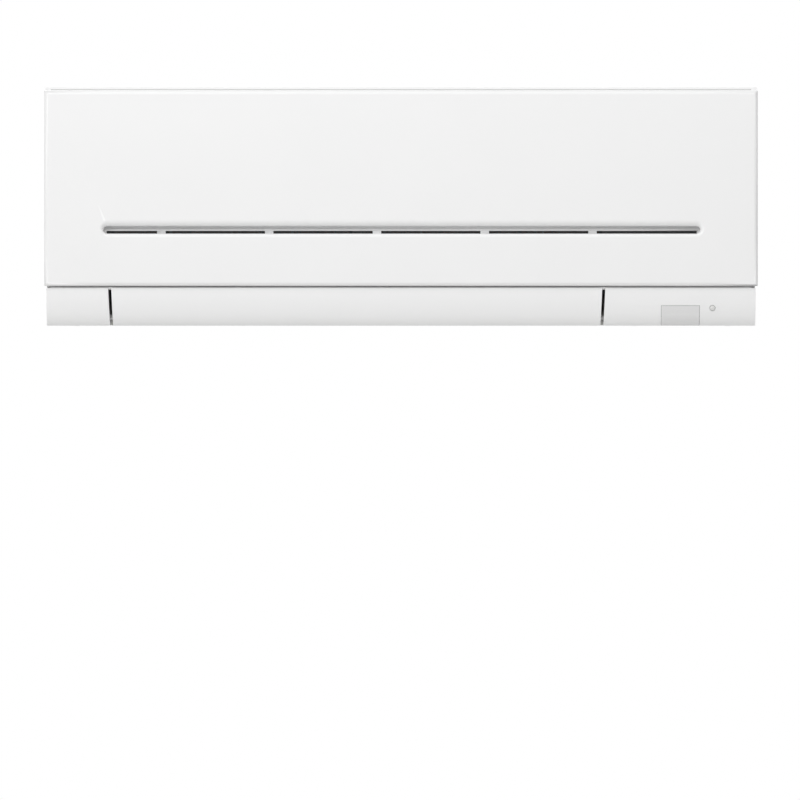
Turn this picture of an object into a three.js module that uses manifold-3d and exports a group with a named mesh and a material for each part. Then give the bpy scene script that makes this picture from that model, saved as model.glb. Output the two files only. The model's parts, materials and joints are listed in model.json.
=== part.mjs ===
// Wall-mounted indoor unit of a split air conditioner, in millimetres.
// +X is right as seen from the front, the front faces -Y, +Z is up.
// The origin is the centre of the wall plate's back face, so the wall is the plane y = 0.
// Sections are drawn as (depth, height): depth is the distance out from the wall.

import * as THREE from "three";
import { mergeVertices, toCreasedNormals } from "three/addons/utils/BufferGeometryUtils.js";
import Module from "manifold-3d";

const wasm = await Module();
wasm.setup();

// ---------------------------------------------------------------- driving sizes

// Whole unit
const panelWidth = 838;
const unitHeight = 282;
const unitDepth = 228;
const sideOverhang = 2.5; // front panel past the casing, each side
const wallGap = 3; // casing's back edge off the wall
const wall = 2.5; // moulded walls
const seat = 0.3; // gap between pieces that rest on each other

// Front panel
const panelRim = 21; // depth of the panel's turned edge
const panelGap = 3; // panel's rim off the casing
const panelTopDrop = 5; // panel's top edge below the casing's top
const panelFootGap = 2.5; // panel's bottom edge above the lower section
const panelEdgeRadius = 5;
const panelHingeInset = 12; // hinge axis behind the panel's face
const panelHingeDrop = 8; // hinge axis below the panel's top edge
const panelPinRadius = 2;
const hingeEarInset = 27; // inner side of each hinge ear, in from the panel's side
const hingeEarWidth = 3;
const hingeLugWidth = 6;
const hingeLugShoulder = 13.2; // lug's upper and lower root, below the hinge
const hingeLugFoot = 24;
const hingeEarFoot = 8.8; // ear's root below the hinge

// Long slot in the front panel: a pocket with an open line at its foot, and a rounded lip all round
const slotSideMargin = 64.5; // panel beyond the slot's ends
const slotCentreX = 4;
const slotRise = 57.5; // slot's lower edge above the panel's bottom edge
const slotPocketHeight = 8.6;
const slotPocketDepth = 9;
const slotTopLip = 6.4; // height of the lip's upper face, which is the wider one
const slotFootLip = 3.8;
const slotEndLip = 4;
const slotLipDepth = 3.2;
const slotLipSteps = 3;
const slotMouth = 3; // height of the open line
const slotMouthInset = 4.5; // open line's ends inside the pocket's ends
const slotBridges = 5;
const slotBridgeWidth = 11;
const slotBridgePitch = 126.9;
const slotBridgeCentreX = -29;

// Casing
const casingCornerRadius = 20;
const lidGap = 0.6; // casing's top rim above the panel
const lidSteps = 4;
const grilleBackDepth = 34;
const grilleSlots = 7;
const grilleSlotWidth = 10;
const grilleFrontMargin = 26; // from the last slot to the casing's front
const grilleColumns = 4;
const grilleRib = 5;
const windowTopDrop = 35; // filter windows' top edge below the casing's top
const windowFootRise = 81; // their foot above the unit's bottom
const windowMidPost = 12; // post between the two filter windows
const windowCellsAcross = 4;
const windowCellsUp = 2;
const windowBar = 3;
const ledgeDrop = 1.5; // ledge over the vane, below the lower section's top

// Lower section: vane between two corner boxes
const lowerHeight = 44.5;
const chinReach = 18; // how far the lower section's face curves back
const chinInset = 6; // lower section's face behind the panel's face
const cornerBoxDepth = 140; // depth at which the corner boxes start
const leftBoxWidth = 75; // from the panel's side to the vane's joint line
const rightBoxWidth = 179;
const outletLean = 2; // lean of the joint lines between vane and boxes
const vaneGap = 3.6;
const vaneThickness = 3;
const vaneHingeInset = 36; // hinge behind the unit's front
const vaneHingeRise = 10; // hinge above the unit's bottom
const vanePinRadius = 3;
const vaneArm = 4;
const vaneTail = 11; // vane's rear edge behind its hinge
const vaneRibs = 3;
const reliefMargin = 1.5; // room round the duct floor and the vane's pins in the corner boxes

// Receiver and lamp in the right corner box
const receiverSideInset = 113.4; // window's left edge in from the panel's right side
const receiverWidth = 45.4;
const receiverRise = 24; // window's top edge above the unit's bottom
const lampSideInset = 53;
const lampRise = 21;
const lampRadius = 3.2;
const lampDome = 0.8;
const receiverBoardInset = 18; // board behind the lower section's face
const receiverBoardMargin = 8; // board past the window and the lamp
const receiverBoardRise = 35; // board's top edge above the unit's bottom
const receiverBoardHeight = 25;
const sensorSize = 10;
const sensorHeight = 7;
const boardThickness = 1.6;

// Cross-flow fan
const fanDepthShare = 9 / 19; // fan's axis off the wall, as a share of the unit's depth
const fanRise = 111; // fan's axis above the unit's bottom
const fanRadius = 47;
const fanInnerRadius = 38.5;
const fanGap = 5;
const fanBlades = 18;
const fanBays = 4;
const fanRing = 2.5;
const fanEndGap = 6;
const fanBoss = 16;
const bladeThickness = 2;
const bladeBelly = 0.25; // share of the sweep reached half way along a blade
const bladeInnerMargin = 0.8; // blade's edges inside the rings' edges
const bladeOuterMargin = 0.7;
const bladeSweep = 13; // degrees from a blade's inner edge to its outer edge
const shaftRadius = 4;

// Air duct
const ductSlope = 27; // degrees below level
const scrollStart = 150; // degrees round the fan, from the front over the top
const scrollEnd = 248;
const scrollGrowth = 8;
const scrollSteps = 9;
const endPlate = 3.5;
const endPlateInset = 3.5; // end plates outside the outlet's joint lines
const plateStepBack = 0.7; // end plates' shelf behind the pan's rear wall
const plateStepAhead = 0.8; // and ahead of the nozzle's lip
const ductLipInset = 51.5; // duct floor's end behind the unit's front
const stabiliserAngle = -35;
const nozzleLipInset = 28;
const nozzleLipRise = 9.5; // nozzle's lip above the lower section
const noseThickness = 2.875;
const noseRadius = 1.5;

// Upright louvers
const louversPerGroup = 6;
const louverRowOffset = 50; // pivots' distance down the duct floor
const louverHeight = 44;
const louverFront = 28;
const louverBack = 9;
const louverThickness = 1.6;
const louverFootGap = 1.5;
const louverCorner = 6;
const louverFootHeight = 6;
const louverPinRadius = 2;
const linkArm = 19;
const linkBarHeight = 2.5;
const linkBarWidth = 7;
const linkPegRadius = 1.5;
const linkPegProud = 1.2;
const louverTabNumber = 3; // louver of each group that carries the hand tab
const louverTabWidth = 7;
const louverTabLength = 8;
const louverTabLow = 14.7; // tab's lower and upper end, above the duct's floor
const louverTabHigh = 26.4;
const pivotClearance = 0.5;

// Coil banks, as insets from the unit's front and heights over the fan's axis or under the top
const coilThickness = 26;
const coilClearance = 3;
const lowerBankInset = 44;
const upperBankInset = 46;
const apexAhead = 18; // upper bank's top ahead of the fan's axis
const apexDrop = 28; // and below the casing's top
const rearTopBehind = 4; // rear bank's top behind the fan's axis
const rearTopDrop = 34;
const rearFootBehind = 58;
const rearFootRise = 66;
const lowerBankRise = 46;
const upperBankRise = 56;
const coilRests = 5;
const coilRestRise = 4; // lower bank's foot above the pan's floor
const tubePitch = 21;
const tubeRowOffset = 6.5;
const tubeRadius = 3.5;
const tubeSheet = 1.5;
const bendReach = 10;

// Front drain pan
const panBackInset = 61.5;
const panRise = 81; // pan's floor above the unit's bottom
const panLip = 9;
const panLeftReach = 22; // pan beyond the vane's joint line
const panRightReach = 19;
const spigotLeftReach = 15;
const spigotRightReach = 13;
const spigotRadius = 5;
const spigotLength = 14;
const spigotWall = 1.8;
const spigotRise = 6;

// Chassis
const chassisGap = 4; // chassis's back off the wall
const chassisTopDrop = 11;
const pipeRecessDepth = 50;
const pipeRecessRise = 56; // recess's ceiling above the unit's bottom
const recessReach = 32; // ceiling's front edge behind the fan's axis
const rearTroughRise = 40; // trough's floor above the fan's axis
const rearTroughDepth = 14;
const hookInset = 90; // hooks' middle in from the wall plate's ends
const hookWidth = 40;
const hookDrop = 4; // hooks below the plate's top edge
const hookRise = 10;
const hookSlotMargin = 1.5;

// Fan motor, its cradle and strap
const motorRadius = 43;
const motorHubRadius = 13;
const motorReach = 56; // motor's far end beyond the vane's joint line
const motorBandThickness = 3;
const motorTab = 10;
const strapFrontAngle = -44; // strap's ends, in degrees round the motor
const strapBackAngle = 150;
const cradleGapAngle = 0.6;
const motorTabTurn = 4; // thickness of the tabs, in degrees round the motor
const strapOffset = 12;
const bearingRadius = 11.7;
const bearingProud = 1.5;
const coverEar = 4; // bearing cover past the bearing
const motorShoulder = 6;
const motorShaftReach = 14;
const motorStrapWidth = 16;
const vaneMotorRadius = 11;
const vaneMotorLength = 17;

// Electrical box
const boxLeftInset = 155; // box's left side in from the panel's right side
const boxRightInset = 18;
const boxBackGap = 9; // box behind the coil's side, ahead of the fan motor
const boxFrontInset = 30.5;
const boxFootRise = 71;
const boxTopDrop = 36;
const boxSeatOverlap = 24;
const boxSeatMargin = 10; // chassis's support shorter than the box at its foot
const boxPostInset = 14;
const boxPostRadius = 4;
const boardStandoff = 8;
const boardEdgeGap = 3;
const capacitorRadius = 6;
const capacitorHeight = 12;
const partSink = 0.4; // parts' feet sunk into the board
const relayWidth = 16;
const relayHeight = 10;
const relayPitch = 22;
const terminalWidth = 56;
const terminalHeight = 22;
const terminalDepth = 12;
const terminalPitch = 13;
const wireNotchHeight = 24;
const coverThickness = 1.5;
const coverVents = 6;
const coverVentPitch = 9;
const coverVentHeight = 4;
const clipWidth = 4;
const clipHeight = 10;
const clipLength = 12;
const beadRadius = 1.6;

// Refrigerant pipes
const pipeReach = 46; // pipes' middle beyond the vane's joint line
const pipeDepth = 24;
const pipeRise = 29;
const pipeSlotHalf = 22;
const pipeLead = 7; // straight stretch out of the coil
const pipeBend = 8;
const pipeSweep = 30; // reach of the pipes' lower bends
const pipeRuns = [
  { name: "liquid_pipe", nut: "flare_nut_liquid", radius: 3.2, offset: 8, tube: 1, reach: 266 },
  { name: "gas_pipe", nut: "flare_nut_gas", radius: 4.8, offset: -8, tube: 0, reach: 241 },
];
const nutLength = 16;
const nutRadiusRatio = 1.9;
const collarLength = 6;
const collarRadiusRatio = 1.35;
const clampReach = 116; // clamp beside the pipes' fall
const clampWidth = 10;
const clampHalfDepth = 14;
const clampDrop = 16;

// Filters
const filterThickness = 2.4;
const filterMesh = 0.8;
const filterMeshInset = 0.6;
const filterParting = 1.5; // filters' inner edges off the middle
const filterFrame = 7;
const filterRibs = 3;
const filterFootRise = 95;
const filterBackDepth = 66;

// Wall plate
const plateSideMargin = 129; // unit beyond the plate, each side
const plateFootRise = 69;
const plateTopDrop = 45;
const plateSheet = 1.2;
const plateCorner = 8;
const plateRidgeInset = 12;
const plateRidgeWidth = 8;
const plateHoleRadius = 4;
const plateHoleShares = [0.28, 0.72]; // screw holes across each half of the plate
const plateHoleZ = 35;
const hookGrip = 3;

// Emergency button behind the front panel
const buttonSideInset = 119;
const buttonRise = 81;
const buttonRadius = 5;
const buttonFlange = 2;
const buttonFlangeThickness = 0.8;
const buttonProud = 2.5;

// Facets of round parts, from the smallest to the largest
const pegSides = 6;
const screwSides = 8;
const postSides = 10;
const rodSides = 12;
const capSides = 14;
const knobSides = 16;
const discSides = 20;
const motorSides = 22;
const bendSides = 5;
const bendSteps = 5;
const pipeSteps = 22;
const cornerSteps = 8;
const filterSteps = 3;
const chinSteps = 10;

// ---------------------------------------------------------------- worked out from them

const topZ = unitHeight / 2;
const bottomZ = -topZ;
const casingHalf = panelWidth / 2 - sideOverhang;
const panelBack = unitDepth - panelRim;
const casingFront = panelBack - panelGap;
const panelTopZ = topZ - panelTopDrop;
const lowerTopZ = bottomZ + lowerHeight;
const panelBottomZ = lowerTopZ + panelFootGap;
const chinFace = unitDepth - chinInset;
const panelHalf = panelWidth / 2;
const outletLeftX = leftBoxWidth - panelHalf;
const outletRightX = panelHalf - rightBoxWidth;
const hingeEarX = panelHalf - hingeEarInset;
const fanAxis = at(unitDepth * fanDepthShare, bottomZ + fanRise);
const vaneHinge = at(unitDepth - vaneHingeInset, bottomZ + vaneHingeRise);
const panelHinge = at(unitDepth - panelHingeInset, panelTopZ - panelHingeDrop);
const grillePitch = (casingFront - grilleFrontMargin - grilleSlotWidth - grilleBackDepth) / (grilleSlots - 1);
const windowTopZ = topZ - windowTopDrop;
const windowBottomZ = bottomZ + windowFootRise;
const receiverLeftX = panelHalf - receiverSideInset;
const receiverTopZ = bottomZ + receiverRise;
const receiverBoardDepth = chinFace - receiverBoardInset;
const receiverBoardTopZ = bottomZ + receiverBoardRise;
const lampX = panelHalf - lampSideInset;
const lampZ = bottomZ + lampRise;
const ductLipDepth = unitDepth - ductLipInset;
const nozzleLip = at(unitDepth - nozzleLipInset, lowerTopZ + nozzleLipRise);
const panBackDepth = unitDepth - panBackInset;
const panFloorZ = bottomZ + panRise;
const panLeftX = outletLeftX - panLeftReach;
const panRightX = outletRightX + panRightReach;
const spigotLeftX = outletLeftX - spigotLeftReach;
const spigotRightX = outletRightX + spigotRightReach;
const chassisTopZ = topZ - chassisTopDrop;
const recessTopZ = bottomZ + pipeRecessRise;
const rearTroughZ = fanAxis.y + rearTroughRise;
const motorRightX = outletRightX + motorReach;
const boxLeftX = panelHalf - boxLeftInset;
const boxRightX = panelHalf - boxRightInset;
const boxBack = fanAxis.x + motorRadius + boxBackGap;
const boxFront = unitDepth - boxFrontInset;
const boxLowZ = bottomZ + boxFootRise;
const boxHighZ = topZ - boxTopDrop;
const pipeX = outletRightX + pipeReach;
const pipeZ = bottomZ + pipeRise;
const filterFootZ = bottomZ + filterFootRise;
const plateHalfWidth = panelHalf - plateSideMargin;
const plateLowZ = bottomZ + plateFootRise;
const plateHighZ = topZ - plateTopDrop;
const hookX = plateHalfWidth - hookInset;
const hookZ = plateHighZ - hookDrop;
const buttonX = panelHalf - buttonSideInset;
const buttonZ = bottomZ + buttonRise;

// Centre lines of the coil banks; side says which way the fan lies
const lowerBank = {
  foot: at(unitDepth - lowerBankInset, panFloorZ + coilRestRise),
  top: at(unitDepth - lowerBankInset, fanAxis.y + lowerBankRise),
  side: 1,
};
const upperBank = {
  foot: at(unitDepth - upperBankInset, fanAxis.y + upperBankRise),
  top: at(fanAxis.x + apexAhead, topZ - apexDrop),
  side: 1,
};
const rearBank = {
  foot: at(fanAxis.x - rearFootBehind, fanAxis.y + rearFootRise),
  top: at(fanAxis.x - rearTopBehind, topZ - rearTopDrop),
  side: -1,
};

// ---------------------------------------------------------------- drawing helpers

function at(u, v) {
  return new THREE.Vector2(u, v);
}

// Point at a radius and an angle in degrees round a centre.
function polar(centre, radius, degrees) {
  const angle = THREE.MathUtils.degToRad(degrees);
  return at(centre.x + radius * Math.cos(angle), centre.y + radius * Math.sin(angle));
}

// Points along an arc, ends included.
function arc(centre, radius, from, to, steps) {
  const points = [];
  for (let i = 0; i <= steps; i += 1) {
    points.push(polar(centre, radius, from + ((to - from) * i) / steps));
  }
  return points;
}

function ring(centre, radius, sides) {
  return arc(centre, radius, 0, 360 - 360 / sides, sides - 1);
}

function rectangle(u0, v0, u1, v1) {
  return [at(u0, v0), at(u1, v0), at(u1, v1), at(u0, v1)];
}

// Rectangle with round ends or round corners.
function roundedRectangle(u0, v0, u1, v1, radius, steps) {
  return [
    ...arc(at(u1 - radius, v0 + radius), radius, 270, 360, steps),
    ...arc(at(u1 - radius, v1 - radius), radius, 0, 90, steps),
    ...arc(at(u0 + radius, v1 - radius), radius, 90, 180, steps),
    ...arc(at(u0 + radius, v0 + radius), radius, 180, 270, steps),
  ];
}

function extrude(outline, holes, depth, options = {}) {
  const shape = new THREE.Shape(outline);
  holes.forEach((hole) => shape.holes.push(new THREE.Path(hole)));
  return new THREE.ExtrudeGeometry(shape, { depth, bevelEnabled: false, ...options });
}

function turned(geometry, u, v, w) {
  return geometry.applyMatrix4(new THREE.Matrix4().makeBasis(u, v, w));
}

const right = new THREE.Vector3(1, 0, 0);
const forward = new THREE.Vector3(0, -1, 0);
const up = new THREE.Vector3(0, 0, 1);
const left = right.clone().negate();
const down = up.clone().negate();

// Section (depth, height) carried across the unit from x0 to x1.
function across(outline, x0, x1, holes = []) {
  return turned(extrude(outline, holes, x1 - x0), forward, up, left).translate(x1, 0, 0);
}

// Front view (x, height) carried outward from depth near to depth far.
function outward(outline, near, far, holes = [], options = {}) {
  const solid = extrude(outline, holes, far - near, options);
  return turned(solid, right, up, forward).translate(0, -near, 0);
}

// Plan view (x, depth) carried from height low to height high.
function upward(outline, low, high, holes = []) {
  return turned(extrude(outline, holes, high - low), right, forward, down).translate(0, 0, high);
}

function block(x0, x1, near, far, low, high) {
  const box = new THREE.BoxGeometry(x1 - x0, far - near, high - low);
  return box.translate((x0 + x1) / 2, -(near + far) / 2, (low + high) / 2);
}

// ---------------------------------------------------------------- joining and cutting

function solidOf(geometry) {
  const bare = new THREE.BufferGeometry();
  bare.setAttribute("position", geometry.getAttribute("position"));
  if (geometry.index) bare.setIndex(geometry.index);
  const merged = mergeVertices(bare, 1e-4);
  const vertProperties = merged.getAttribute("position").array;
  const triVerts = new Uint32Array(merged.index.array);
  return new wasm.Manifold(new wasm.Mesh({ numProp: 3, vertProperties, triVerts }));
}

function geometryOf(solid) {
  const mesh = solid.getMesh();
  const geometry = new THREE.BufferGeometry();
  geometry.setAttribute("position", new THREE.BufferAttribute(mesh.vertProperties, 3));
  geometry.setIndex(new THREE.BufferAttribute(mesh.triVerts, 1));
  return geometry;
}

function join(first, ...others) {
  return geometryOf(others.reduce((solid, other) => solid.add(solidOf(other)), solidOf(first)));
}

function cut(body, ...tools) {
  return geometryOf(tools.reduce((solid, tool) => solid.subtract(solidOf(tool)), solidOf(body)));
}

function shared(first, second) {
  return geometryOf(solidOf(first).intersect(solidOf(second)));
}

// ---------------------------------------------------------------- lower section's outline

// Face of the lower section, from its top edge round to the underside.
function chinCurve(inset, steps) {
  const centre = at(chinFace - chinReach, lowerTopZ);
  const points = [];
  for (let i = 0; i <= steps; i += 1) {
    const angle = (Math.PI / 2) * (i / steps);
    const u = centre.x + (chinReach - inset) * Math.cos(angle);
    points.push(at(u, centre.y - (lowerHeight - inset) * Math.sin(angle)));
  }
  return points;
}

// Leaning joint line between the vane and a corner box: its x at a height.
function leaningSide(x, lean) {
  const slope = lean / lowerHeight;
  return (z) => x + (lowerTopZ - z) * slope;
}

// Block between two leaning sides, for trimming the lower section's pieces.
function leaningBlock(leftSide, rightSide, near, far, low, high) {
  const outline = [
    at(leftSide(low), low),
    at(rightSide(low), low),
    at(rightSide(high), high),
    at(leftSide(high), high),
  ];
  return outward(outline, near, far);
}

// ---------------------------------------------------------------- housing

// Side view of the casing, stepped where the corner boxes start.
function casingSideOutline() {
  const corner = at(casingFront - casingCornerRadius, topZ - casingCornerRadius);
  const foot = lowerTopZ + seat;
  return [
    at(wallGap, bottomZ),
    at(cornerBoxDepth - seat, bottomZ),
    at(cornerBoxDepth - seat, foot),
    at(casingFront, foot),
    ...arc(corner, casingCornerRadius, 0, 90, cornerSteps),
    at(wallGap, topZ),
  ];
}

// Wall of even thickness that runs from the casing's back over the top and down the front.
function casingSkin() {
  const corner = at(casingFront - casingCornerRadius, topZ - casingCornerRadius);
  const outer = [
    at(casingFront, lowerTopZ + seat),
    ...arc(corner, casingCornerRadius, 0, 90, cornerSteps),
    at(wallGap, topZ),
  ];
  const inner = [
    at(wallGap, topZ - wall),
    ...arc(corner, casingCornerRadius - wall, 90, 0, cornerSteps),
    at(casingFront - wall, lowerTopZ + seat),
  ];
  return across([...outer, ...inner], -casingHalf, casingHalf);
}

// Rim along one side of the casing's top, flush with the panel's side.
function topRim(side) {
  const corner = at(casingFront - casingCornerRadius, topZ - casingCornerRadius);
  const rimFootZ = panelTopZ + lidGap;
  const start = THREE.MathUtils.radToDeg(Math.asin((rimFootZ - corner.y) / casingCornerRadius));
  const outline = [
    at(wallGap, rimFootZ),
    ...arc(corner, casingCornerRadius, start, 90, lidSteps),
    at(wallGap, topZ),
  ];
  const inner = casingHalf - wall / 2;
  return side > 0 ? across(outline, inner, panelHalf) : across(outline, -panelHalf, -inner);
}

// Front windows for the filters, each with its lattice of bars left standing.
function windowCells() {
  const cells = [];
  const middle = (outletLeftX + outletRightX) / 2;
  const halfSpan = (outletRightX - outletLeftX) / 2;
  const windowWidth = halfSpan - windowMidPost / 2 - windowBar;
  const cellWidth = (windowWidth - windowBar * (windowCellsAcross - 1)) / windowCellsAcross;
  const cellHeight = (windowTopZ - windowBottomZ - windowBar * (windowCellsUp - 1)) / windowCellsUp;
  for (const side of [-1, 1]) {
    for (let i = 0; i < windowCellsAcross; i += 1) {
      for (let j = 0; j < windowCellsUp; j += 1) {
        const aside = windowMidPost / 2 + i * (cellWidth + windowBar);
        const x0 = middle + (side > 0 ? aside : -aside - cellWidth);
        const z0 = windowBottomZ + j * (cellHeight + windowBar);
        const [near, far] = [casingFront - 2 * wall, casingFront + wall];
        cells.push(block(x0, x0 + cellWidth, near, far, z0, z0 + cellHeight));
      }
    }
  }
  return cells;
}

// Slots of the air inlet in the casing's top.
function grilleCells() {
  const cells = [];
  const span = outletRightX - outletLeftX;
  const cellWidth = (span - grilleRib * (grilleColumns - 1)) / grilleColumns;
  for (let i = 0; i < grilleSlots; i += 1) {
    const near = grilleBackDepth + i * grillePitch;
    for (let j = 0; j < grilleColumns; j += 1) {
      const x0 = outletLeftX + j * (cellWidth + grilleRib);
      cells.push(block(x0, x0 + cellWidth, near, near + grilleSlotWidth, topZ - 2 * wall, topZ + wall));
    }
  }
  return cells;
}

// Lug on the casing that carries one hinge pin of the panel.
function hingeLug(side) {
  const lugRadius = panelPinRadius + wall;
  const root = casingFront - wall / 2;
  const outline = [
    ...arc(panelHinge, lugRadius, -45, 135, 8),
    ...arc(panelHinge, lugRadius, 157.5, 210, 3),
    at(root, panelHinge.y - hingeLugShoulder),
    at(root, panelHinge.y - hingeLugFoot),
  ];
  const outer = hingeEarX - seat;
  const inner = outer - hingeLugWidth;
  const bore = ring(panelHinge, panelPinRadius + pivotClearance, rodSides);
  return side > 0 ? across(outline, inner, outer, [bore]) : across(outline, -outer, -inner, [bore]);
}

function casing() {
  const sides = [-1, 1].map((side) => {
    const inner = side * (casingHalf - wall);
    const outer = side * casingHalf;
    return across(casingSideOutline(), Math.min(inner, outer), Math.max(inner, outer));
  });
  const ledge = block(
    outletLeftX + seat,
    outletRightX - seat,
    casingFront - wall,
    chinFace - vaneThickness - 1,
    lowerTopZ - ledgeDrop,
    lowerTopZ + 1,
  );
  const shell = join(casingSkin(), ...sides, ledge);
  const buttonRing = ring(at(buttonX, buttonZ), buttonRadius + pivotClearance, knobSides);
  const buttonHole = outward(buttonRing, casingFront - 2 * wall, casingFront + wall);
  const open = cut(shell, ...windowCells(), ...grilleCells(), buttonHole);
  return join(open, topRim(-1), topRim(1), hingeLug(-1), hingeLug(1));
}

// Closed section of the lower front, with its face and underside set in by a wall.
function lowerSection(inset, back) {
  return [
    at(back, lowerTopZ - inset),
    at(chinFace - inset, lowerTopZ - inset),
    ...chinCurve(inset, chinSteps).slice(1),
    at(back, bottomZ + inset),
  ];
}

// Solid of that section between a corner box's joint line and its outer side.
function cornerBoxSolid(side, inset, back) {
  const x = side > 0 ? outletRightX : outletLeftX;
  const joint = leaningSide(x + side * inset, -side * outletLean);
  const outer = () => side * (casingHalf - inset);
  const sides = side > 0 ? [joint, outer] : [outer, joint];
  const trim = leaningBlock(...sides, back, unitDepth, bottomZ - wall, lowerTopZ + wall);
  return shared(across(lowerSection(inset, back), -panelWidth, panelWidth), trim);
}

// Room in a corner box for the chassis's end plate and duct floor.
function cornerBoxReliefs(side) {
  const [plateInner, plateOuter] = endPlateFaces(side);
  const x0 = Math.min(plateInner - side * seat, plateOuter + side * seat);
  const x1 = Math.max(plateInner - side * seat, plateOuter + side * seat);
  const ductX = plateInner - side * 2 * endPlateInset;
  const wide = [Math.min(ductX, x0), Math.max(ductX, x1)];
  const back = cornerBoxDepth - wall;
  return [
    block(x0, x1, back, nozzleLip.x + 2, lowerTopZ - 2 * wall, lowerTopZ + wall),
    block(...wide, back, ductLipDepth + reliefMargin, bottomZ - wall, lowerTopZ + wall),
    across(ring(vaneHinge, vanePinRadius + reliefMargin, rodSides), ...wide),
  ];
}

// Hollow box that closes a lower front corner beside the vane, open to the back.
function cornerBox(side) {
  const solid = cornerBoxSolid(side, 0, cornerBoxDepth);
  const shell = cut(solid, cornerBoxSolid(side, wall, cornerBoxDepth - wall));
  return cut(shell, ...cornerBoxReliefs(side));
}

function receiverOpening(gap) {
  const back = chinFace - chinReach - 2 * wall;
  const x0 = receiverLeftX + gap;
  const x1 = receiverLeftX + receiverWidth - gap;
  return block(x0, x1, back + gap, unitDepth, bottomZ - wall, receiverTopZ - gap);
}

function receiverBoardSpan() {
  return [receiverLeftX - receiverBoardMargin, lampX + receiverBoardMargin];
}

// Right corner box with the receiver's opening, the lamp's hole and rests for their board.
function rightCornerBox() {
  const [boardLeft, boardRight] = receiverBoardSpan();
  const face = receiverBoardDepth + boardThickness + seat;
  const restWidth = 2 * wall;
  const restZ = receiverBoardTopZ - restWidth;
  const rests = [boardLeft, boardRight - restWidth].map((x) => {
    const rest = block(x, x + restWidth, face, unitDepth, restZ, receiverBoardTopZ);
    return shared(rest, across(lowerSection(wall / 2, cornerBoxDepth), x - 1, x + restWidth + 1));
  });
  const lampHole = outward(ring(at(lampX, lampZ), lampRadius + seat, discSides), face + wall, unitDepth);
  return cut(join(cornerBox(1), ...rests), receiverOpening(0), lampHole);
}

// Pale window that follows the corner box's face.
function receiverWindow() {
  const x0 = receiverLeftX;
  const x1 = receiverLeftX + receiverWidth;
  const shell = cut(
    across(lowerSection(0, cornerBoxDepth), x0, x1),
    across(lowerSection(wall, cornerBoxDepth - wall), x0 - 1, x1 + 1),
  );
  return shared(shell, receiverOpening(seat));
}

// Round lens with a domed tip, from the board to just proud of the corner box.
function lampLens() {
  const near = receiverBoardDepth + boardThickness + seat;
  const drop = (lowerTopZ - lampZ) / lowerHeight;
  const surface = chinFace - chinReach + chinReach * Math.sqrt(1 - drop * drop);
  const length = surface - near;
  const quarter = arc(at(0, 0), 1, 0, 90, 4);
  const dome = quarter.map((point) => at(lampRadius * point.x, length + lampDome * point.y));
  const lens = new THREE.LatheGeometry([at(0, 0), at(lampRadius, 0), ...dome], capSides);
  return turned(lens, right, forward, down).translate(lampX, -near, lampZ);
}

function receiverBoard() {
  const [x0, x1] = receiverBoardSpan();
  const low = receiverBoardTopZ - receiverBoardHeight;
  const near = receiverBoardDepth;
  const board = block(x0, x1, near, near + boardThickness, low, receiverBoardTopZ);
  const sensorX = receiverLeftX + (receiverWidth - sensorSize) / 2;
  const sensorZ = low + sensorSize / 2;
  const sensorTop = sensorZ + sensorHeight;
  const sensor = block(sensorX, sensorX + sensorSize, near + 1, near + 4, sensorZ, sensorTop);
  return join(board, sensor);
}

// ---------------------------------------------------------------- front panel

// Outline of the slot with round ends at one step of its rounded lip: 0 in the pocket, 1 at the panel's face.
function slotOutline(share) {
  const foot = panelBottomZ + slotRise + slotFootLip * (1 - share);
  const height = slotPocketHeight + (slotTopLip + slotFootLip) * share;
  const half = panelHalf - slotSideMargin - slotEndLip * (1 - share);
  return roundedRectangle(slotCentreX - half, foot, slotCentreX + half, foot + height, height / 2 - 0.1, 6);
}

// Solid between two outlines of as many points, at two depths.
function lofted(from, to, near, far) {
  const solid = extrude(from, [], far - near);
  const position = solid.getAttribute("position");
  for (let i = 0; i < position.count; i += 1) {
    if (position.getZ(i) > 0) {
      const corner = at(position.getX(i), position.getY(i));
      const match = from.findIndex((point) => point.distanceTo(corner) < 1e-3);
      position.setXY(i, to[match].x, to[match].y);
    }
  }
  return turned(solid, right, up, forward).translate(0, -near, 0);
}

// Pocket of the slot, with a lip that rounds out to the panel's face.
function slotRecess() {
  const lipStart = unitDepth - slotLipDepth;
  const steps = [outward(slotOutline(0), unitDepth - slotPocketDepth, lipStart + slotLipDepth / 4)];
  for (let i = 0; i < slotLipSteps; i += 1) {
    const [from, to] = [i, i + 1].map((step) => (Math.PI / 2) * (step / slotLipSteps));
    steps.push(lofted(
      slotOutline(1 - Math.cos(from)),
      slotOutline(1 - Math.cos(to)),
      lipStart + slotLipDepth * Math.sin(from),
      lipStart + slotLipDepth * Math.sin(to),
    ));
  }
  steps.push(outward(slotOutline(1), unitDepth - 0.01, unitDepth + 1));
  return join(...steps);
}

// Open line at the slot's foot, interrupted by bridges.
function slotMouths() {
  const low = panelBottomZ + slotRise + slotFootLip;
  const half = panelHalf - slotSideMargin - slotEndLip - slotMouthInset;
  const x0 = slotCentreX - half;
  const x1 = slotCentreX + half;
  const first = slotBridgeCentreX - (slotBridgePitch * (slotBridges - 1)) / 2;
  const edges = [x0];
  for (let i = 0; i < slotBridges; i += 1) {
    const centre = first + i * slotBridgePitch;
    edges.push(centre - slotBridgeWidth / 2, centre + slotBridgeWidth / 2);
  }
  edges.push(x1);
  const mouths = [];
  for (let i = 0; i < edges.length; i += 2) {
    const floor = unitDepth - slotPocketDepth;
    mouths.push(block(edges[i], edges[i + 1], floor - 2 * wall, floor + 1, low, low + slotMouth));
  }
  return mouths;
}

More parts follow.
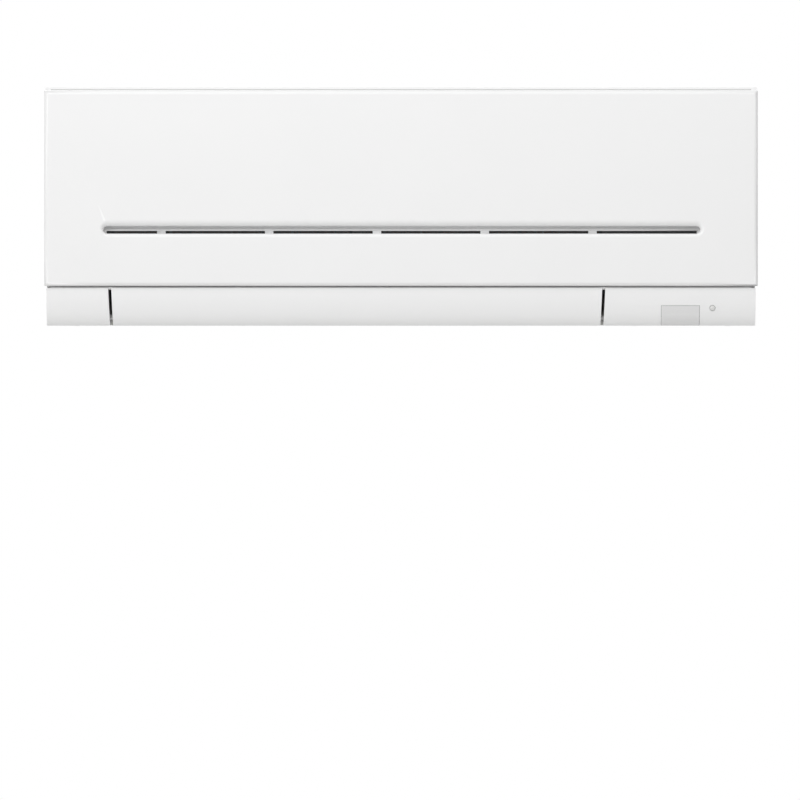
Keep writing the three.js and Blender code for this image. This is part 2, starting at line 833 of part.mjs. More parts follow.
// Ear and pin inside the panel, on which it swings up.
function hingeEar(side) {
  const face = unitDepth - wall / 2;
  const earRadius = panelPinRadius + 2;
  const outline = [
    ...arc(panelHinge, earRadius, 90, 250, 8),
    at(face, panelHinge.y - hingeEarFoot),
    at(face, panelHinge.y + earRadius),
  ];
  const outer = hingeEarX + hingeEarWidth;
  const tip = hingeEarX - seat - hingeLugWidth;
  const ear = side > 0 ? across(outline, hingeEarX, outer) : across(outline, -outer, -hingeEarX);
  const pinEnds = [side * tip, side * (outer - 1)];
  const pin = across(ring(panelHinge, panelPinRadius, rodSides), Math.min(...pinEnds), Math.max(...pinEnds));
  return join(ear, pin);
}

function frontPanel() {
  const half = panelHalf;
  const r = panelEdgeRadius;
  const inner = rectangle(-half + r, panelBottomZ + r, half - r, panelTopZ - r);
  const edge = { bevelEnabled: true, bevelSize: r, bevelThickness: r, bevelSegments: 3 };
  const rounded = outward(inner, panelBack - 2 * r, unitDepth - r, [], edge);
  const body = shared(rounded, block(-panelWidth, panelWidth, panelBack, unitDepth + 1, bottomZ, topZ));
  const hollow = outward(
    roundedRectangle(-half + wall, panelBottomZ + wall, half - wall, panelTopZ - wall, r - wall, 2),
    panelBack - 1,
    unitDepth - wall,
  );
  const slotFloor = unitDepth - slotPocketDepth;
  const slotBacking = outward(slotOutline(1), slotFloor - wall, unitDepth - wall / 2);
  const tray = join(cut(body, hollow), slotBacking);
  return join(cut(tray, slotRecess(), ...slotMouths()), hingeEar(-1), hingeEar(1));
}

// ---------------------------------------------------------------- vane

function vane() {
  const tail = vaneHinge.x - vaneTail;
  const outline = [
    ...chinCurve(0, chinSteps),
    at(tail, bottomZ),
    at(tail, bottomZ + vaneThickness),
    ...chinCurve(vaneThickness, chinSteps).reverse(),
  ];
  const leftEdge = leaningSide(outletLeftX + vaneGap, outletLean);
  const rightEdge = leaningSide(outletRightX - vaneGap, -outletLean);
  const trim = leaningBlock(leftEdge, rightEdge, tail - 1, unitDepth, bottomZ - 1, lowerTopZ + 1);
  const skin = shared(across(outline, outletLeftX, outletRightX), trim);
  const armOutline = [
    ...chinCurve(vaneThickness - 0.5, chinSteps).slice(4),
    ...arc(vaneHinge, 2 * vanePinRadius, 250, 80, 5),
  ];
  const armLeft = leftEdge(vaneHinge.y) + 1;
  const armRight = rightEdge(vaneHinge.y) - 1 - vaneArm;
  const arms = [];
  for (let i = 0; i <= vaneRibs; i += 1) {
    const x = armLeft + ((armRight - armLeft) * i) / vaneRibs;
    arms.push(across(armOutline, x, x + vaneArm));
  }
  const pins = [-1, 1].map((side) => {
    const tip = endPlateFaces(side)[1] - side * seat;
    const base = side > 0 ? armRight + 1 : armLeft + vaneArm - 1;
    return across(ring(vaneHinge, vanePinRadius, knobSides), Math.min(tip, base), Math.max(tip, base));
  });
  return join(skin, ...arms, ...pins);
}

// ---------------------------------------------------------------- chassis with fan scroll and duct

// Inner and outer face of the chassis's end plate on one side.
function endPlateFaces(side) {
  const inner = (side > 0 ? outletRightX : outletLeftX) + side * endPlateInset;
  return [inner, inner + side * endPlate];
}

function scrollRadius(degrees) {
  return fanRadius + fanGap + (scrollGrowth * (degrees - scrollStart)) / (scrollEnd - scrollStart);
}

function ductFloorZ(depth) {
  const start = polar(fanAxis, scrollRadius(scrollEnd), scrollEnd);
  return start.y - (depth - start.x) * Math.tan(THREE.MathUtils.degToRad(ductSlope));
}

// Scroll behind the fan, run out along the duct's floor.
function scrollLine(offset) {
  const points = [];
  for (let i = 0; i <= scrollSteps; i += 1) {
    const degrees = scrollStart + ((scrollEnd - scrollStart) * i) / scrollSteps;
    points.push(polar(fanAxis, scrollRadius(degrees) + offset, degrees));
  }
  const drop = offset / Math.cos(THREE.MathUtils.degToRad(ductSlope));
  points.push(at(ductLipDepth, ductFloorZ(ductLipDepth) - drop));
  return points;
}

// Centre line of a coil bank, moved sideways towards the fan.
function bankLine(bank, inward) {
  const along = bank.top.clone().sub(bank.foot).normalize();
  const normal = at(-along.y, along.x).multiplyScalar(bank.side * inward);
  return [bank.foot.clone().add(normal), bank.top.clone().add(normal)];
}

// Crossing point of two lines, each given by two points.
function crossing([a, b], [c, d]) {
  const ab = b.clone().sub(a);
  const cd = d.clone().sub(c);
  const t = c.clone().sub(a).cross(cd) / ab.cross(cd);
  return a.clone().addScaledVector(ab, t);
}

// End plate of the fan chamber, from the scroll up under the coil and out to the vane's hinge.
function endPlateOutline() {
  const clear = coilThickness / 2 + coilClearance;
  const upperLine = bankLine(upperBank, clear);
  const rearLine = bankLine(rearBank, clear);
  const panBack = panBackDepth - plateStepBack;
  const shelf = panFloorZ - wall - seat;
  const frontLine = [at(panBack, 0), at(panBack, 1)];
  const lipX = scrollLine(0)[0].x;
  const backLine = [at(lipX, 0), at(lipX, 1)];
  return [
    ...scrollLine(wall / 2),
    at(vaneHinge.x - 2 * vanePinRadius, bottomZ + wall + 0.5),
    ...arc(vaneHinge, 2 * vanePinRadius + 1, -90, 30, 6),
    at(nozzleLip.x + plateStepAhead, lowerTopZ),
    at(nozzleLip.x + plateStepAhead, shelf),
    at(panBack, shelf),
    crossing(frontLine, upperLine),
    crossing(upperLine, rearLine),
    crossing(rearLine, backLine),
  ];
}

function endPlateSolid(side, holeRadius) {
  const [inner, outer] = endPlateFaces(side);
  const hingeHole = ring(vaneHinge, vanePinRadius + pivotClearance, knobSides);
  const holes = [ring(fanAxis, holeRadius, discSides), hingeHole];
  return across(endPlateOutline(), Math.min(inner, outer), Math.max(inner, outer), holes);
}

// Cradle or strap half round the motor, with a tab at each end.
function motorBand(from, to, x0, x1, tabTurn) {
  const inner = motorRadius + 2 * seat;
  const outer = inner + motorBandThickness;
  const tab = (degrees, turn) => [
    polar(fanAxis, inner, degrees),
    polar(fanAxis, outer + motorTab, degrees),
    polar(fanAxis, outer + motorTab, degrees + turn),
    polar(fanAxis, inner, degrees + turn),
  ];
  const band = [...arc(fanAxis, outer, from, to, 16), ...arc(fanAxis, inner, to, from, 16)];
  return join(
    across(band, x0, x1),
    across(tab(from, tabTurn), x0, x1),
    across(tab(to, -tabTurn), x0, x1),
  );
}

function backChassis() {
  const half = casingHalf - wall - seat;
  const [, plateLeft] = endPlateFaces(-1);
  const [, plateRight] = endPlateFaces(1);
  const section = [...scrollLine(0), ...scrollLine(wall).reverse()];
  const back = chassisGap + wall;
  const lip = scrollLine(0)[0];
  const recess = recessTopZ;
  const trough = [
    block(panLeftX, panRightX, chassisGap, lip.x, rearTroughZ, rearTroughZ + wall),
    block(panLeftX, panRightX, lip.x - wall, lip.x, lip.y - wall, rearTroughZ + rearTroughDepth),
    block(panLeftX, panLeftX + wall, chassisGap, lip.x, rearTroughZ, rearTroughZ + rearTroughDepth),
    block(panRightX - wall, panRightX, chassisGap, lip.x, rearTroughZ, rearTroughZ + rearTroughDepth),
  ];
  const walls = [
    block(-half, half, chassisGap, back, recess, chassisTopZ),
    block(-half, half, chassisGap, pipeRecessDepth + wall, recess, recess + wall),
    block(plateLeft, plateRight, pipeRecessDepth, fanAxis.x - recessReach, recess, recess + wall),
    block(-half, half, pipeRecessDepth, pipeRecessDepth + wall, bottomZ, recess + wall),
    block(-half, half, pipeRecessDepth, cornerBoxDepth - seat, bottomZ, bottomZ + wall),
    block(plateLeft, plateRight, cornerBoxDepth - 1, ductLipDepth, bottomZ, bottomZ + wall),
    block(plateLeft, plateRight, ductLipDepth - wall, ductLipDepth, bottomZ, ductFloorZ(ductLipDepth)),
    block(
      boxRightX + seat,
      boxRightX + seat + wall,
      back - 1,
      boxBack + boxSeatOverlap,
      boxLowZ + boxSeatMargin,
      boxHighZ - boxSeatOverlap,
    ),
  ];
  const cradleFrom = strapBackAngle + cradleGapAngle;
  const cradleTo = 360 + strapFrontAngle - cradleGapAngle;
  const cradle = motorBand(cradleFrom, cradleTo, plateRight - 1, motorRightX, motorTabTurn);
  const body = join(
    across(section, plateLeft + 1, plateRight - 1),
    ...walls,
    ...trough,
    endPlateSolid(-1, bearingRadius + seat),
    endPlateSolid(1, motorHubRadius + 1),
    cradle,
  );
  const hookSlots = [-1, 1].map((side) => block(
    side * hookX - hookWidth / 2 - 1,
    side * hookX + hookWidth / 2 + 1,
    0,
    back + 1,
    hookZ - hookSlotMargin,
    hookZ + hookRise + 2,
  ));
  const pipeHole = block(
    pipeX - pipeSlotHalf,
    pipeX + pipeSlotHalf,
    back + 1,
    pipeRecessDepth - 4,
    recess - 1,
    recess + wall + 1,
  );
  const pivots = louverPivots().map((x) => louverPin(x, louverPinRadius + pivotClearance, -2 * wall, wall));
  return cut(body, ...hookSlots, pipeHole, ...pivots);
}

// ---------------------------------------------------------------- nozzle with drain pan

function nozzleDrainPan() {
  const [plateLeft] = endPlateFaces(-1);
  const [plateRight] = endPlateFaces(1);
  const front = casingFront - wall - seat;
  const floor = panFloorZ;
  const nose = polar(fanAxis, fanRadius + fanGap, stabiliserAngle);
  const rise = at(0, noseThickness);
  const noseMiddle = nose.clone().addScaledVector(rise, 0.5);
  const ceiling = [nose, nozzleLip, nozzleLip.clone().add(rise), nose.clone().add(rise)];
  const web = [nose, at(panBackDepth, floor - wall), at(panBackDepth + wall, floor), nose.clone().add(rise)];
  const duct = join(
    across(ceiling, plateLeft + seat, plateRight - seat),
    across(web, plateLeft + seat, plateRight - seat),
    across(ring(noseMiddle, noseRadius, postSides), plateLeft + seat, plateRight - seat),
    block(plateLeft + seat, plateRight - seat, front - wall, front, nozzleLip.y, floor),
  );
  const pan = [
    block(panLeftX, panRightX, panBackDepth, front, floor - wall, floor),
    block(panLeftX, panRightX, panBackDepth, panBackDepth + wall, floor - wall, floor + panLip),
    block(panLeftX, panRightX, front - wall, front, floor - wall, floor + panLip),
    block(panLeftX, panLeftX + wall, panBackDepth, front, floor - wall, floor + panLip),
    block(panRightX - wall, panRightX, panBackDepth, front, floor - wall, floor + panLip),
  ];
  const rests = [];
  const restTop = lowerBank.foot.y - seat;
  for (let i = 0; i < coilRests; i += 1) {
    const x = plateLeft + ((plateRight - plateLeft) * (i + 0.5)) / coilRests - wall / 2;
    rests.push(block(x, x + wall, panBackDepth + wall / 2, front - wall / 2, floor - 1, restTop));
  }
  const spigots = [spigotLeftX, spigotRightX].map((x) => spigot(x, spigotRadius, spigotLength));
  const boreLength = spigotLength + wall + 2;
  const bores = [spigotLeftX, spigotRightX].map((x) => spigot(x, spigotRadius - spigotWall, boreLength));
  return cut(join(duct, ...pan, ...rests, ...spigots), ...bores);
}

// Rod along the drain spigot's axis, reaching back from the pan's rear wall.
function spigot(x, radius, length) {
  const far = panBackDepth + wall + 1;
  const end = length > spigotLength ? far : far - 2;
  return outward(ring(at(x, panFloorZ + spigotRise), radius, capSides), panBackDepth - length, end);
}

function drainPlug() {
  const centre = at(spigotLeftX, panFloorZ + spigotRise);
  const inner = spigotRadius + seat;
  const back = panBackDepth - spigotLength - wall - seat;
  const cap = outward(ring(centre, inner + 2, capSides), back, panBackDepth - 3);
  return cut(cap, outward(ring(centre, inner, capSides), back + wall, panBackDepth));
}

// ---------------------------------------------------------------- cross-flow fan

// One forward-curved blade, a crescent between the rings' edges, drawn round the origin.
function bladeOutline(start) {
  const centre = at(0, 0);
  const inner = fanInnerRadius + bladeInnerMargin;
  const outer = fanRadius - bladeOuterMargin;
  const middle = (inner + outer) / 2;
  const thick = THREE.MathUtils.radToDeg(bladeThickness / middle);
  return [
    polar(centre, inner, start),
    polar(centre, middle, start + bladeSweep * bladeBelly),
    polar(centre, outer, start + bladeSweep),
    polar(centre, middle, start + bladeSweep * bladeBelly + thick),
  ];
}

function fanEnds() {
  return [endPlateFaces(-1)[0] + fanEndGap, endPlateFaces(1)[0] - fanEndGap];
}

// Fan about its own axis: blades through end discs and middle rings, with a boss and a stub shaft.
function fanRotor() {
  const [x0, x1] = fanEnds();
  const centre = at(0, 0);
  const bay = (x1 - x0 - fanRing) / fanBays;
  const discs = [];
  for (let i = 0; i <= fanBays; i += 1) {
    const x = x0 + i * bay;
    const hole = i === 0 || i === fanBays ? [] : [ring(centre, fanInnerRadius, fanBlades)];
    discs.push(across(ring(centre, fanRadius, 2 * fanBlades), x, x + fanRing, hole));
  }
  const blades = [];
  for (let i = 0; i < fanBlades; i += 1) {
    blades.push(across(bladeOutline((360 * i) / fanBlades), x0 + fanRing / 2, x1 - fanRing / 2));
  }
  const [plateInner, plateOuter] = endPlateFaces(-1);
  const stub = across(ring(centre, shaftRadius, rodSides), plateOuter + seat, x0 + 1);
  const leftHub = across(ring(centre, 2 * shaftRadius, knobSides), (plateInner + x0) / 2 + 1, x0 + 1);
  const boss = across(ring(centre, motorHubRadius - 1, knobSides), x1 - fanBoss, x1 + fanEndGap / 2);
  const bore = across(ring(centre, shaftRadius + seat, rodSides), x1 - fanBoss + wall, x1 + fanEndGap);
  return cut(join(discs[0], ...discs.slice(1), ...blades, stub, leftHub, boss), bore);
}

function motorShaft() {
  const x1 = fanEnds()[1];
  const start = x1 - fanBoss + wall + seat;
  return across(ring(at(0, 0), shaftRadius, rodSides), start, endPlateFaces(1)[1] + motorShaftReach);
}

// Motor body with rounded shoulders and a hub that enters the end plate.
function fanMotor() {
  const start = endPlateFaces(1)[1] + seat;
  const hubStart = endPlateFaces(1)[0] + seat;
  const r = motorShoulder;
  const shoulder = (x, from, to) => arc(at(motorRadius - r, x), r, from, to, 2);
  const profile = [
    at(0, hubStart),
    at(motorHubRadius, hubStart),
    at(motorHubRadius, start),
    ...shoulder(start + r, -90, 0),
    ...shoulder(motorRightX - r, 0, 90),
    at(0, motorRightX),
  ];
  const body = new THREE.LatheGeometry(profile, motorSides);
  // the lathe's axis is Y, and it is laid along X
  const along = turned(body, up, right, forward.clone().negate());
  const boreRing = ring(at(0, 0), shaftRadius + pivotClearance, rodSides);
  const bore = across(boreRing, hubStart - 1, start + motorShaftReach + 2);
  const moved = cut(along, bore).translate(0, -fanAxis.x, fanAxis.y);
  return moved;
}

function motorStrap() {
  const x0 = endPlateFaces(1)[1] + strapOffset;
  return motorBand(strapFrontAngle, strapBackAngle, x0, x0 + motorStrapWidth, motorTabTurn);
}

function fanBearing() {
  const [, plateOuter] = endPlateFaces(-1);
  const hole = ring(fanAxis, shaftRadius + pivotClearance, rodSides);
  const outline = ring(fanAxis, bearingRadius, discSides);
  return across(outline, plateOuter + seat, plateOuter + endPlate + bearingProud, [hole]);
}

// Cover screwed outside the end plate, which keeps the bearing in.
function bearingCover() {
  const [, plateOuter] = endPlateFaces(-1);
  const outline = [
    ...arc(fanAxis, bearingRadius + coverEar, 60, 120, 3),
    ...arc(fanAxis, bearingRadius + coverEar, 240, 300, 3),
  ];
  const plate = across(outline, plateOuter - wall, plateOuter - seat);
  const plug = ring(fanAxis, bearingRadius, knobSides);
  return join(plate, across(plug, plateOuter - wall - 2, plateOuter - seat));
}

// ---------------------------------------------------------------- coil

// Block along a bank's centre line, grown all round, out towards the fan, or from its foot up.
function slab(bank, x0, x1, { grow = 0, inward = 0, raise = 0, extend = 0 } = {}) {
  const reach = coilThickness / 2 + grow;
  const along = bank.top.clone().sub(bank.foot).normalize();
  const [innerFoot, innerTop] = bankLine(bank, reach + inward);
  const [outerFoot, outerTop] = bankLine(bank, -reach);
  innerFoot.addScaledVector(along, raise - grow);
  outerFoot.addScaledVector(along, raise - grow);
  innerTop.addScaledVector(along, grow + extend);
  outerTop.addScaledVector(along, grow + extend);
  return across([innerFoot, innerTop, outerTop, outerFoot], x0, x1);
}

function coilBank(bank) {
  return slab(bank, endPlateFaces(-1)[1], endPlateFaces(1)[1]);
}

// Tube along a smooth curve through points.
function tube(points, radius, sides, steps) {
  const path = new THREE.CatmullRomCurve3(points, false, "centripetal");
  const section = new THREE.Shape(ring(at(0, 0), radius, sides));
  return new THREE.ExtrudeGeometry(section, { steps, extrudePath: path, bevelEnabled: false });
}

// Centres of a bank's tubes in one row, from the foot up.
function tubeCentres(bank, row) {
  const along = bank.top.clone().sub(bank.foot);
  const count = 2 * Math.floor(along.length() / (2 * tubePitch));
  const first = (along.length() - tubePitch * (count - 1)) / 2;
  const [foot] = bankLine(bank, row * tubeRowOffset);
  along.normalize();
  const centres = [];
  for (let i = 0; i < count; i += 1) {
    centres.push(foot.clone().addScaledVector(along, first + i * tubePitch));
  }
  return centres;
}

// Half-round bend between two neighbouring tubes, outside the sheet's face.
function returnBend(from, to, face, side) {
  const centre = from.clone().add(to).multiplyScalar(0.5);
  const half = to.clone().sub(from).multiplyScalar(0.5);
  const place = (share, reach) => {
    const point = centre.clone().addScaledVector(half, share);
    return new THREE.Vector3(face + side * reach, -point.x, point.y);
  };
  const points = [place(-1, -0.5), place(-1, 1)];
  for (let i = 1; i < 4; i += 1) {
    const angle = (Math.PI * i) / 4;
    points.push(place(-Math.cos(angle), 1 + bendReach * Math.sin(angle)));
  }
  points.push(place(1, 1), place(1, -0.5));
  return tube(points, tubeRadius, bendSides, bendSteps);
}

// Sheet that carries the tubes at one end of the coil, with its return bends.
function tubeSheetWithBends(side) {
  const [, plateOuter] = endPlateFaces(side);
  const near = plateOuter + side * seat;
  const face = near + side * tubeSheet;
  const x0 = Math.min(near, face);
  const x1 = Math.max(near, face);
  const banks = [lowerBank, upperBank, rearBank];
  const sheets = banks.map((bank) => slab(bank, x0, x1, { grow: 1, extend: 2 }));
  const flanges = banks.map((bank) => slab(bank, x0, x1, { inward: coilClearance + 2, raise: 10 }));
  const corners = [[lowerBank.top, upperBank.foot], [upperBank.top, rearBank.top]].map(([a, b]) => {
    const middle = a.clone().add(b).multiplyScalar(0.5);
    return across(ring(middle, coilThickness / 2, rodSides), x0, x1);
  });
  const bends = [];
  for (const bank of banks) {
    const centres = tubeCentres(bank, 1);
    for (let i = 1; i < centres.length; i += 2) {
      bends.push(returnBend(centres[i - 1], centres[i], face, side));
    }
  }
  return join(...sheets, ...flanges, ...corners, ...bends);
}

// ---------------------------------------------------------------- upright louvers

// Frame of the louvers: across, down the duct's floor, and square to that floor.
function louverRow() {
  const row = new THREE.Group();
  const start = polar(fanAxis, scrollRadius(scrollEnd), scrollEnd);
  const slope = THREE.MathUtils.degToRad(ductSlope);
  const depth = start.x + louverRowOffset * Math.cos(slope);
  row.rotation.x = slope;
  row.position.set(0, -depth, ductFloorZ(depth));
  return row;
}

function louverPivots() {
  const [left] = endPlateFaces(-1);
  const [rightEnd] = endPlateFaces(1);
  const pitch = (rightEnd - left) / (2 * louversPerGroup);
  return Array.from({ length: 2 * louversPerGroup }, (unused, i) => left + pitch * (i + 0.5));
}

// Rod square to the duct's floor, in the unit's own frame.
function louverPin(x, radius, low, high) {
  const row = louverRow();
  row.updateMatrix();
  return upward(ring(at(0, 0), radius, pegSides), low, high).translate(x, 0, 0).applyMatrix4(row.matrix);
}

// One louver about its own pivot, in the louvers' frame.
function louverBlade(tab) {
  const half = louverThickness / 2;
  const outline = [
    at(-louverBack, louverFootGap),
    at(louverFront - louverCorner, louverFootGap),
    at(louverFront, 6 * louverFootGap),
    ...arc(at(louverFront - louverCorner, louverHeight - louverCorner), louverCorner, 0, 90, 2),
    at(-louverBack, louverHeight),
  ];
  const blade = across(outline, -half, half);
  const foot = upward(ring(at(0, 0), louverPinRadius, pegSides), -wall, louverFootHeight);
  const pegTop = louverHeight + linkBarHeight + linkPegProud;
  const peg = upward(ring(at(0, linkArm), linkPegRadius, pegSides), louverHeight - wall, pegTop);
  const pieces = [foot, peg];
  if (tab) {
    const tabHalf = louverTabWidth / 2;
    const tabBack = louverFront - louverTabLength;
    const tabOutline = roundedRectangle(-tabHalf, tabBack, tabHalf, louverFront + 1, tabHalf - 0.5, 4);
    pieces.push(upward(tabOutline, louverTabLow, louverTabHigh));
  }
  return join(blade, ...pieces);
}

// Bar that links one group, drawn from the first louver's peg.
function linkBar(reach) {
  const half = linkBarWidth / 2;
  const low = louverHeight + seat;
  const outline = roundedRectangle(-half, -half, reach + half, half, half - 0.1, 4);
  const pitch = reach / (louversPerGroup - 1);
  const holes = Array.from({ length: louversPerGroup }, (unused, i) => ring(
    at(i * pitch, 0),
    linkPegRadius + pivotClearance,
    pegSides,
  ));
  return upward(outline, low, low + linkBarHeight, holes);
}

// ---------------------------------------------------------------- filters

// Filter's path: up behind the casing's front, over the coil and back under the top grille.
function filterStrip(lift, thickness, low, backEnd, x0, x1) {
  const inset = wall + seat + lift;
  const corner = at(casingFront - casingCornerRadius, topZ - casingCornerRadius);
  const line = (deep) => [
    at(casingFront - inset - deep, low),
    ...arc(corner, casingCornerRadius - inset - deep, 0, 90, filterSteps),
    at(backEnd, topZ - inset - deep),
  ];
  return across([...line(0), ...line(thickness).reverse()], x0, x1);
}

function filter(side) {
  const middle = (outletLeftX + outletRightX) / 2;
  const near = middle + side * filterParting;
  const far = side > 0 ? outletRightX : outletLeftX;
  const x0 = Math.min(near, far);
  const x1 = Math.max(near, far);
  const low = filterFootZ;
  const mesh = filterStrip(filterMeshInset, filterMesh, low + 1, filterBackDepth + 1, x0 + 1, x1 - 1);
  const pitch = (x1 - x0 - filterFrame) / filterRibs;
  const ribs = Array.from({ length: filterRibs + 1 }, (unused, i) => {
    const width = i === 0 || i === filterRibs ? filterFrame : filterFrame / 2;
    const x = i === filterRibs ? x1 - filterFrame : x0 + i * pitch;
    return filterStrip(0, filterThickness, low, filterBackDepth, x, x + width);
  });
  const front = casingFront - wall - seat;
  const rows = [0, 0.5, 1].map((t) => {
    const z = low + t * (windowTopZ - low - filterFrame);
    return block(x0, x1, front - filterThickness, front, z, z + filterFrame);
  });
  const top = topZ - wall - seat;
  const backRail = block(x0, x1, filterBackDepth, filterBackDepth + filterFrame, top - filterThickness, top);
  return join(mesh, ...ribs, ...rows, backRail);
}

// ---------------------------------------------------------------- electrical side

function electricalBox() {
  const shell = cut(
    block(boxLeftX, boxRightX, boxBack, boxFront, boxLowZ, boxHighZ),
    block(boxLeftX + wall, boxRightX - wall, boxBack + wall, boxFront + 1, boxLowZ + wall, boxHighZ - wall),
  );
  const posts = [];
  for (const x of [boxLeftX + boxPostInset, boxRightX - boxPostInset]) {
    for (const z of [boxLowZ + boxPostInset, boxHighZ - boxPostInset]) {
      const post = ring(at(x, z), boxPostRadius, postSides);
      posts.push(outward(post, boxBack + 1, boxBack + wall + boardStandoff));
    }
  }
  const notchZ = boxLowZ + 2 * boxPostInset;
  const wireNotch = block(
    boxLeftX - 1,
    boxLeftX + wall + 1,
    boxFront - clipLength,
    boxFront + 1,
    notchZ,
    notchZ + wireNotchHeight,
  );
  return cut(join(shell, ...posts), wireNotch);
}

// Sheet steel cover with a row of vents, cut out round the button.
function electricalCover() {
  const front = boxFront + seat + coverThickness;
  const plate = block(boxLeftX, boxRightX, boxFront + seat, front, boxLowZ, boxHighZ);
  const buttonRoom = outward(ring(at(buttonX, buttonZ), buttonRadius + 3, knobSides), boxFront, front + 1);
  const vents = [];
  for (let i = 0; i < coverVents; i += 1) {
    const z = boxHighZ - 2 * coverVentPitch - coverVentPitch * i;
    const x0 = boxLeftX + 2 * boxPostInset;
    const x1 = boxRightX - 2 * boxPostInset;
    vents.push(block(x0, x1, boxFront, front + 1, z - coverVentHeight, z));
  }
  return cut(plate, buttonRoom, ...vents);
}

// Board with capacitors and a row of relays standing on it.
function controlBoard() {
  const near = boxBack + wall + boardStandoff + seat;
  const top = near + boardThickness;
  const inset = wall + boardEdgeGap;
  const board = block(boxLeftX + inset, boxRightX - inset, near, top, boxLowZ + inset, boxHighZ - inset);
  const middleX = (boxLeftX + boxRightX) / 2;
  const middleZ = (boxLowZ + boxHighZ) / 2;
  const parts = [];
  for (let i = -1; i <= 1; i += 1) {
    const centre = at(middleX + relayPitch * i, middleZ + 1.5 * relayPitch);
    const x = middleX + relayPitch * (i - 0.5);
    parts.push(outward(ring(centre, capacitorRadius, capSides), top - partSink, top + capacitorHeight));
    parts.push(block(x, x + relayWidth, top - partSink, top + relayHeight, middleZ - relayPitch, middleZ));
  }
  return join(board, ...parts);
}

// Screw terminals in a row, at the foot of the board.
function terminalBlock() {
  const near = boxBack + wall + boardStandoff + boardThickness + 2 * seat;
  const x0 = boxRightX - 2 * wall - boardEdgeGap - terminalWidth;
  const low = boxLowZ + 2 * wall + boardEdgeGap;
  const rim = (terminalWidth - 4 * terminalPitch) / 2 + 1;
  const body = block(x0, x0 + terminalWidth, near, near + terminalDepth, low, low + terminalHeight);
  const cells = [];
  for (let i = 0; i < 4; i += 1) {
    const x = x0 + rim + terminalPitch * i;
    cells.push(block(
      x,
      x + terminalPitch - 2,
      near + terminalDepth / 2,
      near + terminalDepth + 1,
      low + 2 * rim,
      low + terminalHeight - 2 * rim,
    ));
  }
  return cut(body, ...cells);
}

// Air sensor in its clip on the box's side, ahead of the coil.
function thermistor() {
  const x1 = boxLeftX - seat;
  const front = boxFront - clipLength / 2;
  const middleZ = boxHighZ - 4 * clipHeight;
  const low = middleZ - clipHeight / 2;
  const clip = block(x1 - clipWidth, x1, front - clipLength, front, low, low + clipHeight);
  const bead = outward(ring(at(x1 - clipWidth / 2, middleZ), beadRadius, postSides), front - 1, boxFront - 1);
  return join(clip, bead);
}

// Push button whose flange lies behind the casing's front.
function emergencyButton() {
  const back = casingFront - wall - seat;
  const centre = at(buttonX, buttonZ);
  const stem = outward(ring(centre, buttonRadius, knobSides), back - 0.5, casingFront + buttonProud);
  const flangeRing = ring(centre, buttonRadius + buttonFlange, knobSides);
  const flange = outward(flangeRing, back - buttonFlangeThickness, back);
  return join(flange, stem);
}

// Stepper motor that turns the vane, with its two ears.
function vaneMotor() {
  const start = endPlateFaces(1)[1] + seat;
  const centre = at(vaneHinge.x - vaneMotorRadius / 2, vaneHinge.y + vaneMotorRadius - vanePinRadius);
  const body = across(ring(centre, vaneMotorRadius, discSides), start, start + vaneMotorLength);
  const half = vanePinRadius + pivotClearance;
  const span = 1.5 * vaneMotorRadius;
  const low = centre.y - half;
  const ears = roundedRectangle(centre.x - span, low, centre.x + span, low + 2 * half, half - 0.1, 4);
  return join(body, across(ears, start, start + plateSheet));
}

// ---------------------------------------------------------------- wall plate and pipes

// Steel plate screwed to the wall, with two ridges that stiffen it and two hooks for the chassis.
function mountingPlate() {
  const outline = roundedRectangle(-plateHalfWidth, plateLowZ, plateHalfWidth, plateHighZ, plateCorner, 3);
  const ridgeHalf = plateHalfWidth - plateRidgeInset;
  const parts = [];
  for (const low of [plateLowZ + plateRidgeInset, plateHighZ - plateRidgeInset - plateRidgeWidth]) {
    parts.push(block(-ridgeHalf, ridgeHalf, 0, chassisGap - seat, low, low + plateRidgeWidth));
  }
  const holes = [];
  for (const side of [-1, 1]) {
    const x0 = side * hookX - hookWidth / 2;
    const reach = chassisGap + wall + hookGrip;
    const tongue = 1.5 * plateSheet;
    parts.push(block(x0, x0 + hookWidth, 0, reach, hookZ, hookZ + tongue));
    parts.push(block(x0, x0 + hookWidth, reach - tongue, reach, hookZ, hookZ + hookRise));
    for (const share of plateHoleShares) {
      for (const z of [-plateHoleZ, plateHoleZ]) {
        const centre = at(side * plateHalfWidth * share, z);
        holes.push(outward(ring(centre, plateHoleRadius, screwSides), -1, plateSheet + 1));
      }
    }
  }
  return cut(join(outward(outline, 0, plateSheet), ...parts), ...holes);
}

function pipeEnd(run) {
  return pipeX - run.reach;
}

// Pipe from the coil's right end, down behind the motor and along the recess.
function refrigerantPipe(run) {
  const startX = endPlateFaces(1)[1] + 2 * seat + tubeSheet;
  const start = tubeCentres(rearBank, -1)[run.tube];
  const x = pipeX + run.offset;
  const z = pipeZ - run.offset;
  const away = (px, depth, height) => new THREE.Vector3(px, -depth, height);
  const points = [
    away(startX, start.x, start.y),
    away(startX + pipeLead, start.x, start.y),
    away(x - pipeBend / 2, start.x - pipeBend, start.y - pipeBend),
    away(x, pipeDepth + pipeBend, start.y - pipeSweep),
    away(x, pipeDepth, fanAxis.y),
    away(x, pipeDepth, z + pipeSweep),
    away(x - pipeBend, pipeDepth, z + pipeBend),
    away(x - pipeSweep, pipeDepth, z),
    away(x - 2 * pipeSweep, pipeDepth, z),
    away(x - 3 * pipeSweep, pipeDepth, z),
    away(pipeEnd(run), pipeDepth, z),
  ];
  return tube(points, run.radius, screwSides, pipeSteps);
}

